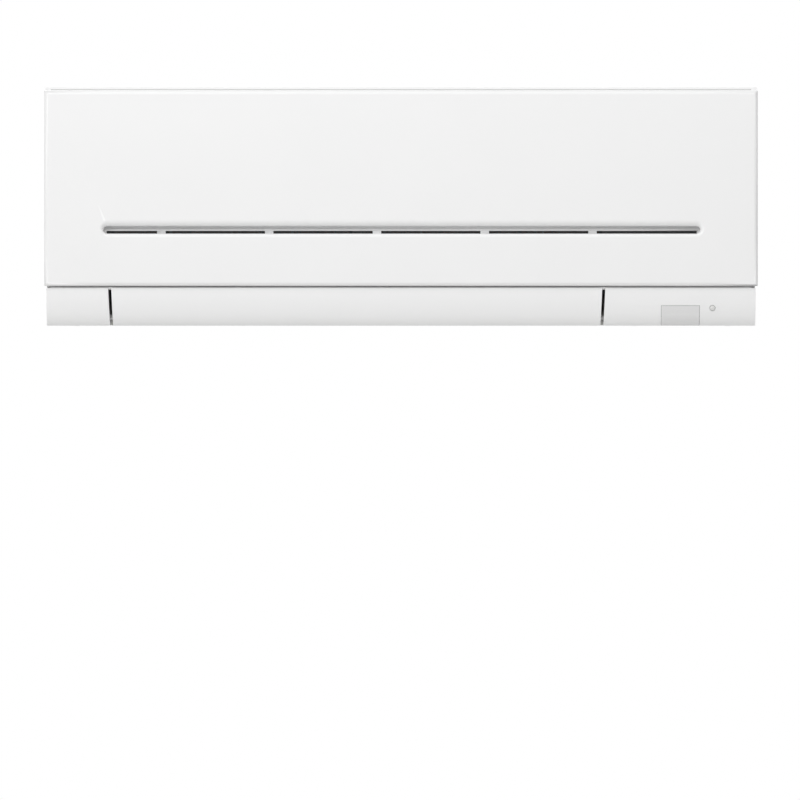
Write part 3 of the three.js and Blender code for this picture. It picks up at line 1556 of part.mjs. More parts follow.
// Hexagonal flare nut with a turned collar.
function flareNut(run) {
  const centre = at(pipeDepth, pipeZ - run.offset);
  const start = pipeEnd(run) - nutLength;
  const hex = across(ring(centre, run.radius * nutRadiusRatio, pegSides), start, pipeEnd(run) - seat);
  const collarRing = ring(centre, run.radius * collarRadiusRatio, capSides);
  const collar = across(collarRing, start - collarLength, start + 1);
  return join(hex, collar);
}

// Clip under the recess's ceiling that holds both pipes.
function pipeClamp() {
  const near = pipeDepth - clampHalfDepth;
  const outline = rectangle(near, pipeZ - clampDrop, near + 2 * clampHalfDepth, recessTopZ - seat);
  const holes = pipeRuns.map((run) => ring(at(pipeDepth, pipeZ - run.offset), run.radius + seat, rodSides));
  return across(outline, pipeX - clampReach, pipeX - clampReach + clampWidth, holes);
}

// ---------------------------------------------------------------- assembly

const finish = {
  white: { color: 0xf0f1f0, roughness: 0.35, metalness: 0 },
  inner: { color: 0xdfe0de, roughness: 0.5, metalness: 0 },
  dark: { color: 0x34373a, roughness: 0.5, metalness: 0 },
  window: { color: 0xb9bcbd, roughness: 0.15, metalness: 0 },
  steel: { color: 0xb4b8ba, roughness: 0.35, metalness: 1 },
  aluminium: { color: 0xc9ccce, roughness: 0.4, metalness: 1 },
  copper: { color: 0xb87351, roughness: 0.35, metalness: 1 },
  brass: { color: 0xc9a553, roughness: 0.3, metalness: 1 },
  board: { color: 0x2f6b45, roughness: 0.6, metalness: 0 },
  rubber: { color: 0x1d1e1f, roughness: 0.8, metalness: 0 },
};

function piece(name, geometry, look) {
  const creased = toCreasedNormals(geometry, Math.PI / 6);
  const mesh = new THREE.Mesh(creased, new THREE.MeshStandardMaterial(finish[look]));
  mesh.name = name;
  return mesh;
}

const unit = new THREE.Group();
unit.name = "split_indoor_unit";

unit.add(piece("mounting_plate", mountingPlate(), "steel"));
unit.add(piece("back_chassis", backChassis(), "inner"));
unit.add(piece("casing", casing(), "white"));
unit.add(piece("corner_box_left", cornerBox(-1), "white"));
unit.add(piece("corner_box_right", rightCornerBox(), "white"));
unit.add(piece("receiver_window", receiverWindow(), "window"));
unit.add(piece("lamp_lens", lampLens(), "window"));
unit.add(piece("receiver_board", receiverBoard(), "board"));
unit.add(piece("emergency_button", emergencyButton(), "inner"));
unit.add(piece("nozzle_drain_pan", nozzleDrainPan(), "inner"));
unit.add(piece("drain_plug", drainPlug(), "rubber"));

const banks = { coil_front_lower: lowerBank, coil_front_upper: upperBank, coil_rear: rearBank };
Object.entries(banks).forEach(([name, bank]) => unit.add(piece(name, coilBank(bank), "aluminium")));
unit.add(piece("tube_sheet_left", tubeSheetWithBends(-1), "copper"));
unit.add(piece("tube_sheet_right", tubeSheetWithBends(1), "copper"));
pipeRuns.forEach((run) => {
  unit.add(piece(run.name, refrigerantPipe(run), "copper"));
  unit.add(piece(run.nut, flareNut(run), "brass"));
});
unit.add(piece("pipe_clamp", pipeClamp(), "inner"));

unit.add(piece("fan_motor", fanMotor(), "dark"));
unit.add(piece("motor_strap", motorStrap(), "steel"));
unit.add(piece("fan_bearing", fanBearing(), "rubber"));
unit.add(piece("bearing_cover", bearingCover(), "inner"));
unit.add(piece("electrical_box", electricalBox(), "inner"));
unit.add(piece("electrical_cover", electricalCover(), "steel"));
unit.add(piece("control_board", controlBoard(), "board"));
unit.add(piece("terminal_block", terminalBlock(), "dark"));
unit.add(piece("thermistor", thermistor(), "dark"));
unit.add(piece("filter_left", filter(-1), "dark"));
unit.add(piece("filter_right", filter(1), "dark"));
unit.add(piece("vane_motor", vaneMotor(), "white"));

unit.add(piece("front_panel", frontPanel(), "white"));
unit.add(piece("vane", vane(), "white"));

const fan = new THREE.Group();
fan.position.set(0, -fanAxis.x, fanAxis.y);
fan.add(piece("fan_rotor", fanRotor(), "dark"));
fan.add(piece("motor_shaft", motorShaft(), "steel"));
unit.add(fan);

const louvers = louverRow();
const pivots = louverPivots();
for (let i = 0; i < pivots.length; i += 1) {
  const group = i < louversPerGroup ? "left" : "right";
  const number = (i % louversPerGroup) + 1;
  const blade = piece(`louver_${group}_${number}`, louverBlade(number === louverTabNumber), "inner");
  blade.position.x = pivots[i];
  louvers.add(blade);
}
for (const [group, first] of [["left", 0], ["right", louversPerGroup]]) {
  const reach = pivots[first + louversPerGroup - 1] - pivots[first];
  const bar = piece(`link_bar_${group}`, linkBar(reach), "inner");
  bar.position.set(pivots[first], -linkArm, 0);
  louvers.add(bar);
}
unit.add(louvers);

export default unit;
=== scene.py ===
# %% [markdown]
# # A wall-mounted air conditioner, indoor unit
#
# The unit hangs on a steel plate on the wall. Room air enters through the grille on its top, passes the
# coil, and is pushed down and out of the slot at its foot by a long fan. This lesson dresses the measured
# solids of that unit: it gives each one its real finish, replaces the few whose fine detail is too small
# for a solid, and lights it all as a plain product picture.
#
# The solids come first, because every later piece is placed by them. Blender opens with a cube, a lamp
# and a camera of its own, and they are cleared away before anything is measured.

# %% The measured solids
import json
import math

import bmesh
import bpy
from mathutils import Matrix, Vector

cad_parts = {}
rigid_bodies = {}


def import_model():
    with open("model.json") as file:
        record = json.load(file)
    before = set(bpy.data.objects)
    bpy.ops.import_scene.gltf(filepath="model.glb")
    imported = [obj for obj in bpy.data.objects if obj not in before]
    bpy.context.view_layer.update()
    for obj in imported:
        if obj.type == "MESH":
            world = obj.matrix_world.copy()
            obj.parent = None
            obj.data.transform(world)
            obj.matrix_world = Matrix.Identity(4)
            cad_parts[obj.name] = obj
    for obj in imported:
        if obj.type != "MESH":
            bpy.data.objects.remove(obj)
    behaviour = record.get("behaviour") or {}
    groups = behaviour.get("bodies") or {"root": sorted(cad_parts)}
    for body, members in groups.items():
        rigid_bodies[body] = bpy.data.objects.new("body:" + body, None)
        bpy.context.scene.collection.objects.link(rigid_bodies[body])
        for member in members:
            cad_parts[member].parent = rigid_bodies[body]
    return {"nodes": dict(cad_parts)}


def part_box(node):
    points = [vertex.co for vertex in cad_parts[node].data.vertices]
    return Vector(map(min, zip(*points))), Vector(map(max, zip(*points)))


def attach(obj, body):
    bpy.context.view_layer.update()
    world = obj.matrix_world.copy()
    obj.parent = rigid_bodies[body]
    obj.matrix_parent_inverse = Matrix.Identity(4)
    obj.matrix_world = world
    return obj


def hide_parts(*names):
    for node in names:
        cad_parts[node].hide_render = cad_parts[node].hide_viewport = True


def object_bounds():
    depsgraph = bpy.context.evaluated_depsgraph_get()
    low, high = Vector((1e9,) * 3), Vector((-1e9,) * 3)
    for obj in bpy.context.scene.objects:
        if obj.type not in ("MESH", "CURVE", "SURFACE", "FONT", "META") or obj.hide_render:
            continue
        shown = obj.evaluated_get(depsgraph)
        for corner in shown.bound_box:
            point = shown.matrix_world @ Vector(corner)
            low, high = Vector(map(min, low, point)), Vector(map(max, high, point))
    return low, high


for startup_object in list(bpy.data.objects):
    bpy.data.objects.remove(startup_object)

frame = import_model()
nodes = frame["nodes"]
solid_box = [list(corner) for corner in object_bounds()]
print("solids:", len(nodes), "box in metres:", solid_box)

# %% [markdown]
# ## Units, colours and shader nodes
#
# All sizes are written in millimetres and turned to metres by one factor. Colours are written the way
# a paint program shows them, as sRGB hex values, and one function turns them to the linear values that
# the shader needs. One more function adds a shader node, so that a material reads as a short list.

# %% Small helpers for sizes, colours and nodes
MM = 0.001


def linear(hex_colour):
    """The linear colour, with alpha, of an sRGB hex value such as F2F2F0."""
    channels = [int(hex_colour[i:i + 2], 16) / 255 for i in (0, 2, 4)]
    return [c / 12.92 if c <= 0.04045 else ((c + 0.055) / 1.055) ** 2.4 for c in channels] + [1.0]


def join(tree, node, links):
    """Joins other nodes to a node's sockets: each socket gets a (source node, source socket)."""
    for name, (source, socket) in links.items():
        tree.links.new(source.outputs[socket], node.inputs[name])


def add(tree, kind, settings=None, links=None):
    """Adds a shader node. Settings go to its properties or sockets, links join other nodes to it."""
    made = tree.nodes.new("ShaderNode" + kind)
    for name, value in (settings or {}).items():
        if isinstance(name, str) and hasattr(made, name):
            setattr(made, name, value)
        else:
            made.inputs[name].default_value = value
    join(tree, made, links or {})
    return made


def new_surface(name, settings):
    """A material with one Principled shader and nothing else: the material, its tree and the shader."""
    material = bpy.data.materials.new(name)
    material.use_nodes = True
    tree = material.node_tree
    tree.nodes.clear()
    shader = add(tree, "BsdfPrincipled", settings)
    add(tree, "OutputMaterial", links={"Surface": (shader, "BSDF")})
    return material, tree, shader


def object_point(tree, size_mm):
    """The surface point, counted in patterns of a size in mm: one size, or three along X, Y and Z."""
    sizes = size_mm if isinstance(size_mm, tuple) else (size_mm,) * 3
    point = add(tree, "TexCoord")
    scale = [1 / (size * MM) for size in sizes]
    return add(tree, "Mapping", {"Scale": scale}, {"Vector": (point, "Object")})


print("one unit of the scene is", 1 / MM, "mm")

# %% [markdown]
# ## Moulded white housing plastic
#
# The housing is injection moulded ABS, in an off-white with a semi-gloss face. The mould is polished and
# then lightly eroded, which leaves a grain of about 0.3 mm that only shows in a highlight. It is drawn at
# 0.9 mm, close to one pixel of the picture, because a finer one would be lost. A slower wave stands for
# the flow of the plastic and for handling: it moves the colour and the roughness by a few hundredths, as
# a real panel shows when the light rakes over it.
#
# A Mix node has four sets of sockets, one for each kind of data, so those for colours are called by number.

# %% Housing plastic
GRAIN_MM, FLOW_MM = 0.9, 70
MIX_SHARE, MIX_FIRST, MIX_SECOND, MIX_COLOUR = 0, 6, 7, 2


def moulded_plastic(name, colour, low, high, grain_depth, tint=0.97):
    """Moulded plastic: a fine eroded grain, its colour down to a tint, its roughness from low to high."""
    full = linear(colour)
    settings = {"Base Color": full, "IOR": 1.53, "Roughness": low}
    material, tree, shader = new_surface(name, settings)
    grain_point, flow_point = object_point(tree, GRAIN_MM), object_point(tree, FLOW_MM)
    grain = add(tree, "TexNoise", {"Detail": 2.0, "Scale": 1.0}, {"Vector": (grain_point, "Vector")})
    flow = add(tree, "TexNoise", {"Detail": 3.0, "Scale": 1.0}, {"Vector": (flow_point, "Vector")})
    shades = {MIX_FIRST: [c * tint for c in full[:3]] + [1.0], MIX_SECOND: full}
    mixed = add(tree, "Mix", {"data_type": "RGBA", **shades}, {MIX_SHARE: (flow, "Fac")})
    rough = add(tree, "MapRange", {"To Min": low, "To Max": high}, {"Value": (flow, "Fac")})
    bump = add(tree, "Bump", {"Strength": 0.25, "Distance": grain_depth * MM}, {"Height": (grain, "Fac")})
    join(tree, shader, {"Base Color": (mixed, MIX_COLOUR), "Roughness": (rough, "Result"),
                        "Normal": (bump, "Normal")})
    return material


housing_abs = moulded_plastic("white_moulded_abs", "F4F4F4", 0.30, 0.40, 0.02, 0.985)
inner_abs = moulded_plastic("satin_inner_abs", "E6E6E2", 0.45, 0.58, 0.04)
print("housing plastics:", housing_abs.name, inner_abs.name)

# %% [markdown]
# ## Dark plastics and rubber
#
# The fan's plastic is filled with glass fibre, so thin blades stay stiff. The fibres come to the surface
# as a fine cloudy grain and leave it dull. The filters' frames are plain polypropylene, a little smoother.
# Rubber is duller still, with a soft bloom. All three use the housing's recipe, with other numbers.

# %% Fan plastic, filter frame and rubber
fan_plastic = moulded_plastic("black_glass_filled_plastic", "1D1F22", 0.42, 0.60, 0.05, 0.75)
frame_plastic = moulded_plastic("grey_polypropylene", "3E4347", 0.40, 0.55, 0.03, 0.85)
rubber = moulded_plastic("black_epdm_rubber", "141415", 0.70, 0.85, 0.06, 0.8)
print("dark materials:", fan_plastic.name, frame_plastic.name, rubber.name)

# %% [markdown]
# ## Sheet steel, copper, brass and aluminium
#
# The plate and brackets are cold rolled steel with a bright zinc coat, rolled along the sheet, so the
# roughness is streaked. Tubes are drawn copper: a warm metal that dulls to brown in patches. Nuts are
# turned brass with rings from the tool. Fins are thin aluminium with a pale lacquer that sheds water.
# Metals keep the shader's default IOR, and their colour is the colour of the highlight.

# %% Metals
STAIN_EDGE = {"From Min": 0.45, "From Max": 0.75}


def worked_metal(name, colour, stain, low, high, streak_mm, stain_mm, bump_mm):
    """A metal with streaks of a size along X, Y and Z, which its making left, and with slow stains."""
    clean = linear(colour)
    material, tree, shader = new_surface(name, {"Metallic": 1.0, "Roughness": low, "Base Color": clean})
    streak_point, stain_point = object_point(tree, streak_mm), object_point(tree, stain_mm)
    streaks = add(tree, "TexNoise", {"Detail": 3.0, "Scale": 1.0}, {"Vector": (streak_point, "Vector")})
    stains = add(tree, "TexNoise", {"Detail": 4.0, "Scale": 1.0}, {"Vector": (stain_point, "Vector")})
    edge = add(tree, "MapRange", STAIN_EDGE, {"Value": (stains, "Fac")})
    shades = {MIX_FIRST: clean, MIX_SECOND: linear(stain)}
    mixed = add(tree, "Mix", {"data_type": "RGBA", **shades}, {MIX_SHARE: (edge, "Result")})
    rough = add(tree, "MapRange", {"To Min": low, "To Max": high}, {"Value": (streaks, "Fac")})
    bump = add(tree, "Bump", {"Strength": 0.3, "Distance": bump_mm * MM}, {"Height": (streaks, "Fac")})
    join(tree, shader, {"Base Color": (mixed, MIX_COLOUR), "Roughness": (rough, "Result"),
                        "Normal": (bump, "Normal")})
    return material


zinc_steel = worked_metal("zinc_coated_rolled_steel", "B9BDBF", "ABB0B3", 0.30, 0.50, (60, 2, 2), 9, 0.02)
shaft_steel = worked_metal("ground_shaft_steel", "C4C5C6", "A7A7A8", 0.15, 0.30, (0.6, 8, 8), 30, 0.01)
copper = worked_metal("drawn_copper_tube", "D98E6B", "9E5E42", 0.22, 0.42, (8, 1.5, 1.5), 14, 0.02)
brass = worked_metal("turned_brass", "D8B36A", "B08A45", 0.20, 0.36, (0.5, 6, 6), 10, 0.03)
fin_aluminium = worked_metal(
    "lacquered_fin_aluminium", "C9CDD2", "B2B8C0", 0.30, 0.45, (1.5, 6, 6), 35, 0.01)
print("metals:", [metal.name for metal in (zinc_steel, shaft_steel, copper, brass, fin_aluminium)])

# %% [markdown]
# ## Window, lens and circuit board
#
# The receiver window is a pale grey moulded polycarbonate that lets infrared light through and hides what
# is behind it. It is polished, so it is the one glossy spot at the front. The lamp's lens is the same
# plastic, frosted inside. Boards are green solder mask over woven glass cloth, and their copper tracks
# show through as a lighter grid. Real tracks are about 0.3 mm apart. They are drawn as cells of 1.2 mm by
# 0.6 mm, because finer ones wouldn't show.

# %% Window, lens and board
HAZE_MM, HAZE_SPREAD = 12, 0.06
BOARD_CELL_MM, TRACK_DEPTH_MM = 2.4, 0.05


def clear_plastic(name, colour, roughness, passed):
    """Tinted polycarbonate: mostly its own colour, with a share of the light passed through it."""
    settings = {"Base Color": linear(colour), "IOR": 1.585, "Roughness": roughness}
    material, tree, shader = new_surface(name, {**settings, "Transmission Weight": passed})
    haze = add(tree, "TexNoise", {"Detail": 2.0, "Scale": 1.0},
               {"Vector": (object_point(tree, HAZE_MM), "Vector")})
    rough = add(tree, "MapRange", {"To Min": roughness, "To Max": roughness + HAZE_SPREAD},
                {"Value": (haze, "Fac")})
    join(tree, shader, {"Roughness": (rough, "Result")})
    return material


def printed_board(name, colour, line):
    """Solder mask over glass cloth, with fine copper tracks showing as lighter lines."""
    mask = linear(colour)
    material, tree, shader = new_surface(name, {"Base Color": mask, "IOR": 1.55, "Roughness": 0.3})
    lines = {"Scale": 1.0, "Mortar Size": 0.04, "Mortar Smooth": 0.2}
    colours = {"Color1": mask, "Color2": mask, "Mortar": linear(line)}
    point = object_point(tree, BOARD_CELL_MM)
    tracks = add(tree, "TexBrick", {**lines, **colours}, {"Vector": (point, "Vector")})
    bump = add(tree, "Bump", {"Strength": 0.4, "Distance": TRACK_DEPTH_MM * MM},
               {"Height": (tracks, "Fac")})
    join(tree, shader, {"Base Color": (tracks, "Color"), "Normal": (bump, "Normal")})
    return material


window_plastic = clear_plastic("pale_polycarbonate_window", "E3E3E3", 0.10, 0.0)
lens_plastic = clear_plastic("frosted_lamp_lens", "E2E2E0", 0.25, 0.05)
board_green = printed_board("green_solder_mask", "1F5A36", "3C7F55")
print("window, lens and board:", window_plastic.name, lens_plastic.name, board_green.name)

# %% [markdown]
# ## Edges of the solids
#
# A moulded or folded edge is never sharp: a radius of a few tenths of a millimetre catches the light and
# tells the eye how big the thing is. The solids come as loose triangles, so each gets a short chain of
# modifiers: weld the points, join flat triangles to whole faces, round the edges, and smooth the shading.
# Modifiers leave the measured mesh as it is. Flat faces are joined up to a seam and no further, so that a
# seam can keep a cut where one is wanted.

# %% Rounded edges
WELD_MM, FLAT_DEGREES, EDGE_DEGREES, EDGE_STEPS = 0.002, 0.5, 35, 2


def weld_points(thing):
    """Joins the loose triangles of a solid at their corners."""
    weld = thing.modifiers.new("weld", "WELD")
    weld.merge_threshold = WELD_MM * MM


def soften(thing, radius_mm):
    """Rounds the edges of a solid by modifiers, and shades its curved faces smoothly."""
    weld_points(thing)
    flat = thing.modifiers.new("flat faces", "DECIMATE")
    flat.decimate_type = "DISSOLVE"
    flat.angle_limit = math.radians(FLAT_DEGREES)
    flat.delimit = {"SEAM"}
    edge = thing.modifiers.new("edge radius", "BEVEL")
    edge.width = radius_mm * MM
    edge.segments = EDGE_STEPS
    edge.limit_method = "ANGLE"
    edge.angle_limit = math.radians(EDGE_DEGREES)
    edge.use_clamp_overlap = True
    edge.harden_normals = False
    thing.data.polygons.foreach_set("use_smooth", [True] * len(thing.data.polygons))
    level = thing.modifiers.new("even shading", "WEIGHTED_NORMAL")
    level.keep_sharp = True


print("edges that turn more than", EDGE_DEGREES, "degrees are rounded in", EDGE_STEPS, "steps")

# %% [markdown]
# ## A finish for every solid
#
# Each row below names a material, an edge radius in millimetres, and the solids that have both. The moulded
# shells have the roundest edges. Sheets, fins and boards are cut, so theirs are nearly sharp.

# %% Finish of each solid
LOUVERS = [f"louver_{side}_{k}" for side in ("left", "right") for k in range(1, 7)]
INNER_PARTS = [
    "back_chassis", "nozzle_drain_pan", "electrical_box", "bearing_cover", "vane_motor", "pipe_clamp"]
FINISHES = (
    (housing_abs, 0.5, ["casing", "corner_box_left", "corner_box_right", "front_panel", "vane"]),
    (inner_abs, 0.3, INNER_PARTS),
    (inner_abs, 0.2, [*LOUVERS, "link_bar_left", "link_bar_right"]),
    (inner_abs, 0.4, ["emergency_button"]),
    (fan_plastic, 0.1, ["fan_rotor"]),
    (frame_plastic, 0.2, ["filter_left", "filter_right"]),
    (fan_plastic, 0.2, ["terminal_block", "thermistor"]),
    (rubber, 0.4, ["drain_plug", "fan_bearing"]),
    (zinc_steel, 0.2, ["mounting_plate", "motor_strap", "electrical_cover", "fan_motor"]),
    (shaft_steel, 0.2, ["motor_shaft"]),
    (copper, 0.1, ["tube_sheet_left", "tube_sheet_right", "liquid_pipe", "gas_pipe"]),
    (brass, 0.4, ["flare_nut_liquid", "flare_nut_gas"]),
    (fin_aluminium, 0.1, ["coil_front_lower", "coil_front_upper", "coil_rear"]),
    (board_green, 0.1, ["receiver_board", "control_board"]),
    (window_plastic, 0.3, ["receiver_window"]),
    (lens_plastic, 0.3, ["lamp_lens"]),
)
for material, radius_mm, names in FINISHES:
    for name in names:
        for place in nodes[name].material_slots:
            place.material = material
        soften(nodes[name], radius_mm)
print("solids with a finish:", sum(len(names) for _, _, names in FINISHES), "of", len(nodes))

# %% [markdown]
# ## Building with plain sections
#
# Most hidden pieces of the unit are long sections that run from one end plate to the other: fins, blades,
# rings, rails. Each is a closed outline in depth and height, carried along X. One function does that, and
# it can add to a mesh that already holds other pieces, so all the fins of a coil are one object.

# %% Sections carried across the unit
def section(mesh, outline, x0, x1):
    """Adds a closed solid: an outline of (depth, height) points in mm, carried from x0 to x1."""
    points = [(-depth * MM, height * MM) for depth, height in outline]
    near, far = [[mesh.verts.new((x * MM, y, z)) for y, z in points] for x in (x0, x1)]
    for i in range(len(outline)):
        j = (i + 1) % len(outline)
        mesh.faces.new((near[i], near[j], far[j], far[i]))
    mesh.faces.new(near[::-1])
    mesh.faces.new(far)


def brick(mesh, x0, x1, near, far, low, high):
    """Adds a plain block between two X, two depths and two heights, in mm."""
    section(mesh, [(near, low), (far, low), (far, high), (near, high)], x0, x1)


def around(centre, radius, start, end, steps):
    """Points on an arc, ends included, as (depth, height) in mm."""
    angles = [math.radians(start + (end - start) * i / steps) for i in range(steps + 1)]
    return [(centre[0] + radius * math.cos(a), centre[1] + radius * math.sin(a)) for a in angles]


def circle(centre, radius, sides, start=0):
    """Points on a whole circle, as (depth, height) in mm."""
    return around(centre, radius, start, start + 360 - 360 / sides, sides - 1)


print("a circle of four sides:", [(round(u, 2), round(v, 2)) for u, v in circle((0, 0), 1, 4)])

# %% From a built mesh to a finished piece
SMOOTH_DEGREES = 40


def plain_object(name, mesh):
    """Turns a built mesh into an object, with its faces pointing out."""
    bmesh.ops.recalc_face_normals(mesh, faces=mesh.faces)
    data = bpy.data.meshes.new(name)
    mesh.to_mesh(data)
    mesh.free()
    thing = bpy.data.objects.new(name, data)
    bpy.context.scene.collection.objects.link(thing)
    return thing


def finished(name, mesh, material, body, smooth=True):
    """Turns a built mesh into a piece with a finish, riding on a body."""
    thing = plain_object(name, mesh)
    thing.data.materials.append(material)
    if smooth:
        thing.data.shade_smooth()
        thing.data.set_sharp_from_angle(angle=math.radians(SMOOTH_DEGREES))
    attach(thing, body)
    return thing


print("round pieces are shaded smooth up to", SMOOTH_DEGREES, "degrees")

# %% [markdown]
# ## The coil
#
# Each bank is a pack of aluminium fins, 0.1 mm thick and 1.4 mm apart, threaded on copper tubes. At this
# picture's scale such a pitch would shimmer, so the fins are drawn 2.3 mm apart and 0.35 mm thick, which
# keeps the fine comb that the eye expects. The tubes run through them in two rows, with 21 mm from one
# tube to the next.

# %% Fins and tubes
COIL_LEFT, COIL_RIGHT = -351, 247
BANK_THICKNESS = 26
FIN_PITCH, FIN_SHEET = 2.3, 0.35
TUBE_PITCH, TUBE_ROW, TUBE_RADIUS, TUBE_SIDES, TUBE_INSET = 21, 6.5, 3.5, 12, 1
BANKS = {
    "coil_front_lower": ((184, -56), (184, 16), 1),
    "coil_front_upper": ((182, 26), (126, 113), 1),
    "coil_rear": ((50, 36), (104, 107), -1),
}


def bank_spot(foot, top, side, up, aside):
    """A point of a bank, as (depth, height) in mm: up from its foot, and aside towards the fan."""
    length = math.dist(foot, top)
    along = ((top[0] - foot[0]) / length, (top[1] - foot[1]) / length)
    across = (-along[1] * side, along[0] * side)
    return (foot[0] + along[0] * up + across[0] * aside, foot[1] + along[1] * up + across[1] * aside)


half_bank = BANK_THICKNESS / 2
fin_room = COIL_RIGHT - COIL_LEFT - FIN_SHEET
fin_steps = int(fin_room / FIN_PITCH)
for bank, line in BANKS.items():
    length = math.dist(line[0], line[1])
    corners = ((0, -half_bank), (length, -half_bank), (length, half_bank), (0, half_bank))
    fins = bmesh.new()
    for i in range(fin_steps + 1):
        x = COIL_LEFT + fin_room * i / fin_steps
        section(fins, [bank_spot(*line, up, aside) for up, aside in corners], x, x + FIN_SHEET)
    pack = finished(bank + "_fins", fins, fin_aluminium, "housing", smooth=False)
    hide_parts(bank)

    tube_count = 2 * int(length / (2 * TUBE_PITCH))
    first = (length - TUBE_PITCH * (tube_count - 1)) / 2
    tubes = bmesh.new()
    for row in (-TUBE_ROW, TUBE_ROW):
        for i in range(tube_count):
            outline = circle(bank_spot(*line, first + i * TUBE_PITCH, row), TUBE_RADIUS, TUBE_SIDES)
            section(tubes, outline, COIL_LEFT + TUBE_INSET, COIL_RIGHT - TUBE_INSET)
    finished(bank + "_tubes", tubes, copper, "housing")
    print(bank, "fins:", fin_steps + 1, "tubes:", 2 * tube_count)

# %% [markdown]
# ## The cross-flow fan
#
# The fan is a cage of thin curved blades between rings. Each bay of it is moulded by itself and welded to
# the next with a small twist, which spreads the noise of the blades. The measured solid has fewer and
# thicker blades, so it is replaced by the full cage: 35 blades in each of ten bays, every blade a crescent
# about one millimetre thick.

# %% Blade and ring
FAN = (108, -30)
FAN_RADIUS, FAN_BORE = 47, 38.5
BLADE_SWEEP, BLADE_THICK, BLADE_EDGE_HALF, BLADE_STEPS = 15, 1.1, 0.25, 5
ROOT_GAP, TIP_GAP = 0.4, 0.5


def crescent(start):
    """Outline of one blade: thin at both edges, full in the middle, swept forward to the rim."""
    inner, outer = FAN_BORE + ROOT_GAP, FAN_RADIUS - TIP_GAP
    lower, upper = [], []
    for i in range(BLADE_STEPS + 1):
        share = i / BLADE_STEPS
        radius = inner + (outer - inner) * share
        angle = start + BLADE_SWEEP * (1 - math.cos(share * math.pi / 2))
        half = BLADE_EDGE_HALF + (BLADE_THICK / 2 - BLADE_EDGE_HALF) * math.sin(share * math.pi)
        turn = math.degrees(half / radius)
        for points, degrees in ((lower, angle - turn), (upper, angle + turn)):
            a = math.radians(degrees)
            points.append((FAN[0] + radius * math.cos(a), FAN[1] + radius * math.sin(a)))
    return lower + upper[::-1]


def annulus(mesh, outer, inner, x0, x1, sides):
    """Adds a flat ring about the fan's axis."""
    loops = []
    for x, radius in ((x0, outer), (x1, outer), (x1, inner), (x0, inner)):
        loops.append([mesh.verts.new((x * MM, -u * MM, v * MM)) for u, v in circle(FAN, radius, sides)])
    for here, there in zip(loops, loops[1:] + loops[:1]):
        for i in range(sides):
            j = (i + 1) % sides
            mesh.faces.new((here[i], here[j], there[j], there[i]))


print("corners in a blade's outline:", len(crescent(0)))

# %% Fan cage
FAN_LEFT, FAN_RIGHT = -341.5, 237.5
FAN_BAYS, FAN_BLADES, BAY_TWIST = 10, 35, 3.4
RING, RING_SIDES, DISC_SIDES, HUB_SIDES = 2.0, 70, 72, 24
STUB_RADIUS, STUB_SINK = 4, 1
COLLAR_RADIUS, COLLAR_LENGTH, COLLAR_SINK = 8, 2.5, 0.5
BOSS_RADIUS, BOSS_BORE, BOSS_DEPTH = 12, 4.3, 16
fan_left_stub, fan_right_boss = [corner[0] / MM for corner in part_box("fan_rotor")]

cage = bmesh.new()
bay = (FAN_RIGHT - FAN_LEFT - RING) / FAN_BAYS
for k in range(FAN_BAYS):
    start, end = [FAN_LEFT + bay * side + RING / 2 for side in (k, k + 1)]
    for i in range(FAN_BLADES):
        section(cage, crescent(360 * i / FAN_BLADES + BAY_TWIST * k), start, end)
for k in range(1, FAN_BAYS):
    start = FAN_LEFT + bay * k
    annulus(cage, FAN_RADIUS, FAN_BORE, start, start + RING, RING_SIDES)
for x in (FAN_LEFT, FAN_RIGHT - RING):
    section(cage, circle(FAN, FAN_RADIUS, DISC_SIDES), x, x + RING)
section(cage, circle(FAN, STUB_RADIUS, HUB_SIDES), fan_left_stub, FAN_LEFT + STUB_SINK)
section(cage, circle(FAN, COLLAR_RADIUS, HUB_SIDES), FAN_LEFT - COLLAR_LENGTH, FAN_LEFT + COLLAR_SINK)
annulus(cage, BOSS_RADIUS, BOSS_BORE, FAN_RIGHT - BOSS_DEPTH, fan_right_boss, HUB_SIDES)
fan = finished("fan_cage", cage, fan_plastic, "fan")
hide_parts("fan_rotor")
print("fan blades:", FAN_BAYS * FAN_BLADES)

# %% [markdown]
# ## The dust filters
#
# Two frames hold a knitted polypropylene net and slide in over the coil, up behind the front and back
# under the grille. The real net has about 0.8 mm between its threads. They are drawn 3.4 mm apart, each
# one a shape of its own, so it reads as a net and the fins still show through. The upright threads follow
# the frame's own path: straight up, round the corner and back. The others run straight across.

# %% Path of a filter
CASING_FRONT, CASING_TOP, CORNER_RADIUS = 204, 141, 20
WALL_AND_SEAT = 2.8
CORNER = (CASING_FRONT - CORNER_RADIUS, CASING_TOP - CORNER_RADIUS)
CORNER_STEPS = 6


def filter_line(inset, low, back):
    """Path of the filter at an inset from the casing's outside: up, round the corner and back."""
    bend = around(CORNER, CORNER_RADIUS - inset, 0, 90, CORNER_STEPS)
    return [(CASING_FRONT - inset, low)] + bend + [(back, CASING_TOP - inset)]


def rail(mesh, x0, x1, lift, thick, low, back):
    """A strip that follows the filter's path, between two insets."""
    outer = filter_line(WALL_AND_SEAT + lift, low, back)
    inner = filter_line(WALL_AND_SEAT + lift + thick, low, back)
    section(mesh, outer + inner[::-1], x0, x1)


def spread_along(path, pitch):
    """Points at an even spacing along a path."""
    marks, rest = [], pitch
    for (u0, v0), (u1, v1) in zip(path, path[1:]):
        length = math.dist((u0, v0), (u1, v1))
        while rest < length:
            share = rest / length
            marks.append((u0 + (u1 - u0) * share, v0 + (v1 - v0) * share))
            rest += pitch
        rest -= length
    return marks


print("a filter lies", WALL_AND_SEAT, "mm under the casing's outside")

